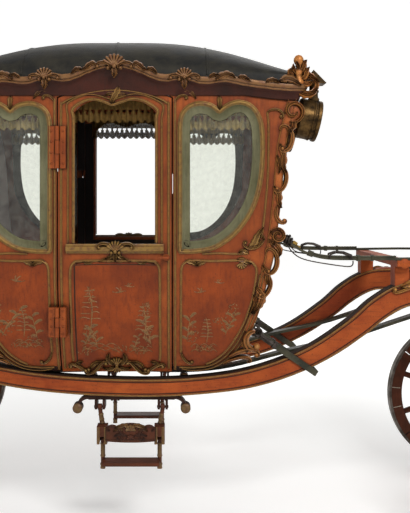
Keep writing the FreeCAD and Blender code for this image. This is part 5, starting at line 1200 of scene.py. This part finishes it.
# A turned cap of beech closes each end of the crossbars. It is glued on and painted orange red with
# the perches.
caps = bmesh.new()
for x in (473.0, -494.0):
    lathe(caps, (x, -155.5, 445.5), (x, -150, 445.5), [
        (0, 0), (0, 3), (0.8, 6.4), (2.0, 8.4), (3.2, 8.4)], 18)
piece("crossbar_caps", caps, perch_paint, "coach", both=True)

# The hanging steps are boards of beech, painted dark red, in gilt iron frames that swing from brackets
# on the perches. A carved crest runs along the upper board, and turned sleeves dress the frame's legs.
dark_wheel_paint = old_paint("dark_red_wheel_paint", "#5e2e19", "#43210f", "#2a1810", 0.45, 40.0, 8.0)
dress(dark_wheel_paint, "upper_step_left", "upper_step_right", "lower_step_left", "lower_step_right")
# Gilding on iron has gone brown and is patchy. The brackets' black-brown paint hides the iron.
aged_gilding = old_gilding("aged_gilt_iron", "#6b5230", "#20140b", "#54301a", 0.5)
bracket_paint = old_paint("black_brown_iron_paint", "#35190f", "#241009", "#3a2412", 0.45, 20.0, 6.0)
dress(bracket_paint, "step_brackets")
STEP_X = 24.0
balls = bmesh.new()
for side in (1, -1):
    for y, out in ((-133.0, -1), (-115.0, 1)):
        centre = Vector((STEP_X + side * 90.0, y - out * 0.4, 203.0))
        lathe(balls, centre, centre + Vector((0, out, 0)), [
            (0, 8.2), (1.0, 8.4), (2.4, 7.2), (3.4, 4.4), (3.8, 0)], 18)
piece("bracket_ball_gilding", balls, aged_gilding, "coach", both=True)
STEP_FACE = 164.0
LEG_Y = -140


def on_step(x, z, out):
    """A point on the face of the steps."""
    return at(STEP_X + x, -(STEP_FACE + out), z)


crest = bmesh.new()
ornament(crest, on_step, [
    (leaf, [(1, 179), (9, 183.5), (18, 181), (26, 181.5)], 7.5, 3.0, 4),
    (leaf, [(12, 176), (20, 177.5), (28, 174)], 5.5, 2.4, 3)])
shell(crest, (0, 176), 9.0, 200, -20, 3.2, on_step, 5)
pair("step_crest", crest, aged_gilding, "step")
board_carving = bmesh.new()
ornament(board_carving, on_step, [
    (scroll, [(34, 176), (20, 163)], 4.2, 2.4, 2.4, (0.7, 0.7), -0.8, False),
    (leaf, [(6, 166), (16, 169), (27, 166)], 6, 2.2, 4)])
shell(board_carving, (0, 162), 7.0, 200, -20, 2.6, on_step, 5)
sweep(board_carving, [(-39, 159.6), (39, 159.6)], bead(2.6, 1.4), on_step)
pair("step_board_carving", board_carving, dark_wheel_paint, "step")

# Gilt sleeves and collars on the legs start below the ears that the legs swing between
SLEEVES = [
    ((50.45, 197), (47.9, 181), [(0, 3.7), (1, 4.4), (3, 4.4), (4, 3.9), (8, 3.9), (10, 4.6), (12, 3.9),
                                 (14.202, 3.9), (15.202, 4.6), (16.202, 4.6)]),
    ((47, 149), (47, 148), [(0, 3.7), (1, 4.5), (3, 4.5), (4, 3.8), (20, 3.8), (21, 4.4), (23, 4.4),
                            (23.5, 3.7)]),
    ((47, 115.5), (47, 114.5), [(0, 3.7), (1, 4.6), (3, 4.6), (5, 4.0), (9.6, 4.4)])]
sleeves = bmesh.new()
for side in (1, -1):
    for (xa, za), (xb, zb), form in SLEEVES:
        lathe(sleeves, (STEP_X + side * xa, LEG_Y, za), (STEP_X + side * xb, LEG_Y, zb), form, 14)
    for edge in (-5.8, 5.8):
        sweep(sleeves, [(side * 47 + edge, z) for z in (151.5, 160, 170, 179.5)], bead(4.4, 2.4),
              lambda x, z, out: on_step(x, z, out - 4.0))
pair("step_leg_sleeves", sleeves, aged_gilding, "step")

# Wheels of beech, painted dark red and shod with iron. The naves carry four iron bands, and the
# felloes two worn gilt lines on their outer faces.
dress(dark_wheel_paint, "front_wheel_left", "front_wheel_right", "rear_wheel_left", "rear_wheel_right")
# The road keeps the tyres' iron paler and smoother than the rest
tyre_iron = old_metal("worn_tyre_iron", "#6f675f", "#3d332b", 0.45, 0.7, 25.0)
dress(tyre_iron, "front_tyre_left", "front_tyre_right", "rear_tyre_left", "rear_tyre_right")
HALF_TRACK = 204.0
FRONT_X = 691.0
FRONT_R = 152.0
REAR_X = -453.0
REAR_R = 200.0
FELLOE_HALF = 7.5
FELLOE_OUT = HALF_TRACK + FELLOE_HALF
for end, wheel_x, wheel_r in (("front", FRONT_X, FRONT_R), ("rear", REAR_X, REAR_R)):
    bands = bmesh.new()
    lining = bmesh.new()
    for inner, outer, along in (
            (19.3, 20.3, 29.0), (17.2, 18.3, -29.0), (22.9, 24.6, 14.0), (20.6, 21.9, -15.5)):
        centre = Vector((wheel_x, along - HALF_TRACK, wheel_r))
        lathe(bands, centre + Vector((0, 2.2, 0)), centre, [
            (0, inner - 1), (0, outer - 0.6), (0.8, outer), (3.6, outer), (4.4, outer - 0.6),
            (4.4, inner - 1)], 36)
    for radius in (wheel_r - 8.4, wheel_r - 22.6):
        ring = [(wheel_x + radius * math.cos(a), wheel_r + radius * math.sin(a))
                for a in (2 * math.pi * k / 72 for k in range(72))]
        sweep(lining, ring, bead(1.4, 0.7), lambda x, z, out: at(x, -(FELLOE_OUT + out), z), closed=True)
    pair(end + "_nave_bands", bands, iron, end + "_wheel")
    pair(end + "_felloe_lining", lining, bronze_gilding, end + "_wheel")
# A short piece is let into the left front wheel's felloe, and pale strips lie in its two joints: painted
# light, for the white that shows through them
joint_light_strips = bmesh.new()
for angle in (math.radians(175.2), math.radians(191.7)):
    joint = [(FRONT_X + radius * math.cos(angle), FRONT_R + radius * math.sin(angle))
             for radius in (129.5, 146.3)]
    for face in (1, -1):
        sweep(joint_light_strips, joint, bead(1.5, 0.8),
              lambda x, z, out: at(x, HALF_TRACK + face * (FELLOE_HALF + out), z))
joint_light_paint = old_paint("pale_painted_light_in_joints", "#e8e2d4", "#cfc6b4", "#b0a48c", 0.7, 20.0, 6.0)
piece("felloe_joint_painted_light", joint_light_strips, joint_light_paint, "front_wheel_left_body")


# Two benches with loose cushions and padded backs fill the coach's ends, covered in faded crimson
# silk over horsehair. The coachman's seat has a leather cushion.
def old_silk(name, colour, faded):
    """Silk, faded in large patches. Its weave is drawn 0.6 mm wide, which is coarser than life, to show."""
    material, tree = new_material(name)
    tone = stain(tree, colour, faded, mottle(tree, 45.0, 4.0))
    bump = add(tree, "Bump", {"Strength": 0.25, "Distance": 0.0003, "Height": mottle(tree, 0.6, 2.0)})
    return surfaced(material, tree, {
        "Roughness": 0.7, "Sheen Weight": 0.3, "Specular IOR Level": 0.3, "Base Color": tone, "Normal": bump})


# The silk has a faint sheen on its rounds
crimson_silk = old_silk("faded_crimson_silk", "#47130e", "#622a20")


def extent(vertices):
    """The lowest and the highest corner of some vertices."""
    return [Vector([pick(v.co[k] for v in vertices) for k in range(3)]) for pick in (min, max)]


VOXEL = 0.0055
CLOTH_FRAMES = 20
CORD_R = 0.0013
CORD_INSET = 0.007


def apply_modifiers(made):
    """Turns an object's modifiers into its mesh."""
    shape = made.evaluated_get(bpy.context.evaluated_depsgraph_get())
    data = bpy.data.meshes.new_from_object(shape)
    made.modifiers.clear()
    old = made.data
    made.data = data
    bpy.data.meshes.remove(old)


def padded(name, node, half, material, body, swell, buttons=()):
    """A cushion made from one solid of a node: remeshed, blown up as cloth, then smoothed and buttoned."""
    most = swell / 1000
    mesh = bmesh.new()
    mesh.from_mesh(nodes[node].data)
    mesh.transform(nodes[node].matrix_world)
    spare = [v for v in mesh.verts if half and (v.co.x - door_x) * half < 0]
    bmesh.ops.delete(mesh, geom=spare, context="VERTS")
    low, high = extent(mesh.verts)
    centre = (low + high) / 2
    shrink = [1 - 2 * most / (high[k] - low[k]) for k in range(3)]
    for v in mesh.verts:
        v.co = [centre[k] + (v.co[k] - centre[k]) * shrink[k] for k in range(3)]
    data = bpy.data.meshes.new(name)
    mesh.to_mesh(data)
    mesh.free()
    pad = bpy.data.objects.new(name, data)
    scene.collection.objects.link(pad)
    remesh = pad.modifiers.new("voxels", "REMESH")
    remesh.mode = "VOXEL"
    remesh.voxel_size = VOXEL
    bpy.context.view_layer.objects.active = pad
    bpy.context.view_layer.update()
    apply_modifiers(pad)
    cloth = pad.modifiers.new("cloth", "CLOTH")
    cloth.settings.quality = 6
    cloth.settings.use_pressure = True
    cloth.settings.uniform_pressure_force = 4.0
    cloth.settings.effector_weights.gravity = 0.0
    cloth.settings.tension_stiffness = 12.0
    for frame_number in range(1, CLOTH_FRAMES + 1):
        scene.frame_set(frame_number)
    rest = [v.co.copy() for v in pad.data.vertices]
    apply_modifiers(pad)
    scene.frame_set(1)
    for v, was in zip(pad.data.vertices, rest):
        moved = v.co - was
        v.co = was + (moved * most / moved.length if moved.length > most else moved)
    smooth_pad = pad.modifiers.new("soft", "SUBSURF")
    smooth_pad.levels = smooth_pad.render_levels = 1
    apply_modifiers(pad)
    for v in pad.data.vertices:
        for x, y, radius, deep in buttons:
            spot = at(x, y, 0)
            near = math.hypot(v.co.x - spot.x, v.co.y - spot.y) * 1000
            if near < radius and v.co.z > centre.z:
                v.co.z -= deep / 1000 * (math.cos(math.pi * near / radius) + 1) / 2
    for face in pad.data.polygons:
        face.use_smooth = True
    pad.data.materials.append(material)
    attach(pad, body)
    return pad


def welt(name, pad, material, body):
    """A sewn cord round the top of a cushion, laid on its surface a little in from its edge."""
    surface = BVHTree.FromPolygons([v.co.copy() for v in pad.data.vertices],
                                   [tuple(f.vertices) for f in pad.data.polygons])
    low, high = extent(pad.data.vertices)
    inset = Vector((CORD_INSET, CORD_INSET, 0))
    low, high = low + inset, high - inset
    corners = [(low.x, low.y), (high.x, low.y), (high.x, high.y), (low.x, high.y)]
    line = []
    for (xa, ya), (xb, yb) in zip(corners, corners[1:] + corners[:1]):
        for k in range(24):
            above = Vector((xa + (xb - xa) * k / 24, ya + (yb - ya) * k / 24, high.z + 0.05))
            hit = surface.ray_cast(above, Vector((0, 0, -1)))[0]
            if hit:
                line.append(hit)
    mesh = bmesh.new()
    rings = []
    for i, spot in enumerate(line):
        along = (line[(i + 1) % len(line)] - line[i - 1]).normalized()
        across = along.cross(Vector((0, 0, 1))).normalized()
        other = across.cross(along)
        rings.append([mesh.verts.new(spot + (across * math.cos(a) + other * math.sin(a)) * CORD_R)
                      for a in (math.pi * k / 3 for k in range(6))])
    skin(mesh, rings, closed=True)
    piece(name, mesh, material, body)


gold_cord = old_silk("gold_silk_cord", "#a07a35", "#7c5a26")
for end, half in (("front", 1), ("rear", -1)):
    spots = [(half * x, y, 26.0, 5.0) for x in (150, 205) for y in (-84, 0, 84)]
    seat = padded(end + "_seat_cushion", "seat_cushions", half, crimson_silk, "coach", 2.5, spots)
    welt(end + "_seat_welt", seat, gold_cord, "coach")
    rest = padded(end + "_seat_back", "seat_backs", half, crimson_silk, "coach", 1.6)
    if end == "front":
        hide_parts("seat_cushions")
        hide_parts("seat_backs")
# The coachman's leather is black, polished brown where it is sat on
box_leather = old_leather("black_seat_leather", "#241e1a", "#3d342c", 1.0, 0.45)
box_pad = padded("coachman_cushion", "box_cushion", 0, box_leather, "coach", 3.0,
                 [(665 + x, y, 24.0, 5.0) for x in (-28, 28) for y in (-80, 0, 80)])
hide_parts("box_cushion")
welt("coachman_cushion_welt", box_pad, harness_leather, "coach")

# The panels are japanned darker and redder than their frames. Along the door panel's rear edge and its
# head lies a black strip, a painted shadow for the shade in its recess.
panel_japan = old_paint("brown_red_japan", "#8c3c10", "#6a2a0b", "#4a1f10")


def field(mesh, outline, out, rows=44, columns=14):
    """Fills an outline on the coach's side with a thin skin of paint."""
    low = min(z for x, z in outline)
    high = max(z for x, z in outline)
    rings = []
    for j in range(rows + 1):
        z = low + (high - low) * (0.002 + 0.996 * j / rows)
        cuts = [xa + (xb - xa) * (z - za) / (zb - za)
                for (xa, za), (xb, zb) in zip(outline, outline[1:] + outline[:1]) if (za - z) * (zb - z) < 0]
        left, right = min(cuts), max(cuts)
        across = [left + (right - left) * i / columns for i in range(columns + 1)]
        rings.append([mesh.verts.new(on_side(x, z, out)) for x in across]
                     + [mesh.verts.new(on_side(x, z, out - 0.6)) for x in across[::-1]])
    skin(mesh, rings)


quarter_fields = bmesh.new()
for outline in fore_and_aft(smooth(LOWER_PANEL + [(130, 276), (112, 282), (106, 292)], 4, closed=True)):
    field(quarter_fields, outline, 0.4)
piece("quarter_panel_japan", quarter_fields, panel_japan, "coach", both=True)
DOOR_PANEL = [(-71, 276), (-71.5, 360), (-71, 440), (-66, 449), (-56, 451.5), (0, 452), (56, 451.5),
              (66, 449), (71, 440), (71.5, 360), (71, 276)]
door_field = bmesh.new()
field(door_field, DOOR_PANEL, 0.4, 30)
pair("door_panel_japan", door_field, panel_japan, "door")
# Painted shadow: black strips along the door panel's rear edge and head
panel_shadow_strips = bmesh.new()
sweep(panel_shadow_strips, [(-64.9, z) for z in range(284, 446, 7)], bead(3.2, 1.0), on_side)
sweep(panel_shadow_strips, [(-65, 445.5), (-30, 446.5), (0, 446.5), (30, 446.5), (65, 445.5)], bead(2.4, 0.8), on_side)
pair("door_panel_painted_shadow", panel_shadow_strips, black_line, "door")

# Inside, the doors are lined with near-black cloth on a thin board, and a fillet on each jamb closes the slit
# that the door leaves, but for a hand's breadth where it is broken away. The cloth's near black is painted
# shade, for the dark inside of the coach.
interior_shade_cloth = old_silk("black_brown_lining_painted_shade", "#120b08", "#22150f")
linings = bmesh.new()


def board(mesh, x0, x1, z0, z1, out, thick, rows=12):
    """A thin board inside the coach's side, bent to its curve."""
    skin(mesh, [[mesh.verts.new(on_side(x, z, up)) for x, up in (
        (x0, out), (x1, out), (x1, out - thick), (x0, out - thick))]
        for z in (z0 + (z1 - z0) * j / rows for j in range(rows + 1))])


for x0, x1, z0, z1 in ((-86, 86, 274, 470), (-86, -70, 470, 706), (70, 86, 470, 706)):
    board(linings, x0, x1, z0, z1, -12.3, 1.5)
pair("door_lining", linings, interior_shade_cloth, "door")
jambs = bmesh.new()
for sign in (1, -1):
    spans = ((276, 560), (604, 716)) if sign > 0 else ((276, 596), (612, 716))
    for z0, z1 in spans:
        board(jambs, sign * 93.6, sign * 101, z0, z1, -7.4, 8.6)
        board(jambs, sign * 87.2, sign * 101, z0, z1, -16.0, 1.6)
piece("door_jamb_fillets", jambs, interior_shade_cloth, "coach", both=True)

# Fine gold painting lies on the lower panels: trees, rocks, birds and sprays of flowers in the Chinese
# taste, drawn with a brush and slightly raised. The drawing here is generic.
gold_paint = old_gilding("raised_gold_painting", "#6b4a1e", "#2c1a0c", "#40220f", 0.1)


rng = random.Random(17)


def stroke(mesh, points, width):
    """One brush stroke, pointed at both ends."""
    def section(share):
        half = width / 2 * (0.25 + 0.75 * math.sin(math.pi * share) ** 0.6)
        return [(-half, -0.3), (-half, 0.5), (0, 0.9), (half, 0.5), (half, -0.3)]
    sweep(mesh, smooth(points, 4), section, on_side)


def spray(mesh, x, z, size, lean):
    """A spray of leaves and buds on a bent stem."""
    stem = [(x, z), (x + lean * 0.3 * size, z + 0.45 * size), (x + lean * size * 0.8, z + size)]
    stroke(mesh, stem, 1.5)
    line = smooth(stem, 6)
    for k, (a, b) in enumerate(line[2::2]):
        side = 1 if k % 2 else -1
        reach = size * rng.uniform(0.22, 0.36)
        tip = (a + side * reach, b + reach * rng.uniform(0.2, 0.9))
        stroke(mesh, [(a, b), ((a + tip[0]) / 2, (b + tip[1]) / 2 + reach * 0.18), tip], size * 0.09 + 0.9)
        if k % 3 == 1:
            for angle in range(0, 360, 72):
                c, s = math.cos(math.radians(angle)), math.sin(math.radians(angle))
                stroke(mesh, [tip, (tip[0] + 2.2 * c, tip[1] + 2.2 * s)], 1.5)


def bird(mesh, x, z, size, facing):
    """A flying bird in five strokes: body, two wings, tail and beak."""
    for points, width in (
            ([(-1, -0.1), (0, 0), (0.8, 0.25)], size * 0.3),
            ([(0, 0), (-0.3, 0.6), (-0.9, 0.9)], size * 0.22),
            ([(0, 0), (0.2, 0.6), (0, 1)], size * 0.22), ([(-1, -0.1), (-1.6, 0.1)], 1.2),
            ([(0.8, 0.25), (1.2, 0.2)], 0.9)):
        stroke(mesh, [(x + facing * a * size, z + b * size) for a, b in points], width)


def rocks(mesh, x, z, width, height):
    """Rocks and water at the foot of a picture, as rows of arcs."""
    for row in range(3):
        for k in range(3 - row % 2):
            left = x + width * (k / 3 + 0.16 * (row % 2))
            base = z + row * height / 3
            crown = (left + width / 6, base + height * 0.3)
            stroke(mesh, [(left, base), crown, (left + width / 3, base)], 1.4)


def tall_tree(mesh, x, z, size):
    """A bare trunk with tiers of short flat strokes."""
    stroke(mesh, [(x, z), (x + size * 0.05, z + size * 0.5), (x - size * 0.03, z + size)], 2.0)
    for k in range(6):
        b = z + size * (0.25 + 0.13 * k)
        reach = size * (0.24 - 0.025 * k)
        for side in (1, -1):
            lift = reach * rng.uniform(-0.1, 0.25)
            tip = (x + side * reach, b + lift * 0.2)
            stroke(mesh, [(x, b), (x + side * reach * 0.6, b + lift), tip], 1.7)


def foliage(mesh, x, z, width, height, count=26):
    """A cloud of leaves, each one short stroke of the brush."""
    for k in range(count):
        turn = rng.uniform(0, 2 * math.pi)
        reach = math.sqrt(rng.uniform(0, 1))
        a = x + width / 2 * reach * math.cos(turn)
        b = z + height / 2 * reach * math.sin(turn)
        lean = rng.uniform(-1.2, 1.2)
        long = rng.uniform(2.2, 4.4)
        stroke(mesh, [(a, b), (a + long * math.sin(lean), b + long * math.cos(lean))], rng.uniform(1.1, 2.0))


def paint(mesh, *marks):
    """Draws marks of (kind, values) in their order."""
    for kind, *values in marks:
        kind(mesh, *values)


door_picture = bmesh.new()
paint(door_picture, (tall_tree, -41, 339, 72), (spray, -50, 312, 30, 0.5), (spray, -30, 308, 34, -0.4),
      (bird, 8, 402, 8, 1), (bird, 22, 411, 6, -1), (tall_tree, 46, 322, 62), (spray, 58, 310, 44, -0.35),
      (spray, 30, 306, 22, 0.4), (rocks, -56, 302, 58, 14), (rocks, 22, 300, 38, 11),
      (foliage, -42, 326, 22, 26), (foliage, -40, 396, 12, 30), (foliage, 54, 330, 16, 40),
      (foliage, 50, 372, 14, 26), (foliage, -52, 300, 20, 16), (foliage, 12, 304, 40, 10),
      (foliage, 40, 302, 24, 14))
pair("door_gold_painting", door_picture, gold_paint, "door")
pictures = bmesh.new()
paint(pictures, (bird, 138, 402, 7, 1), (bird, 166, 417, 6, -1), (spray, 178, 330, 34, 0.6),
      (spray, 116, 318, 42, 0.15), (rocks, 122, 300, 44, 15), (tall_tree, 148, 316, 44),
      (bird, -158, 420, 9, -1), (spray, -186, 328, 44, 0.9), (spray, -128, 322, 40, -0.2),
      (rocks, -166, 308, 48, 15),
      (tall_tree, -150, 326, 50), (foliage, 124, 330, 18, 44), (foliage, 172, 350, 30, 22),
      (foliage, 146, 306, 34, 12), (foliage, 190, 372, 16, 26), (foliage, -176, 340, 26, 30),
      (foliage, -136, 318, 26, 22), (foliage, -192, 372, 16, 26), (foliage, -156, 312, 30, 12))
piece("quarter_gold_paintings", pictures, gold_paint, "coach", both=True)
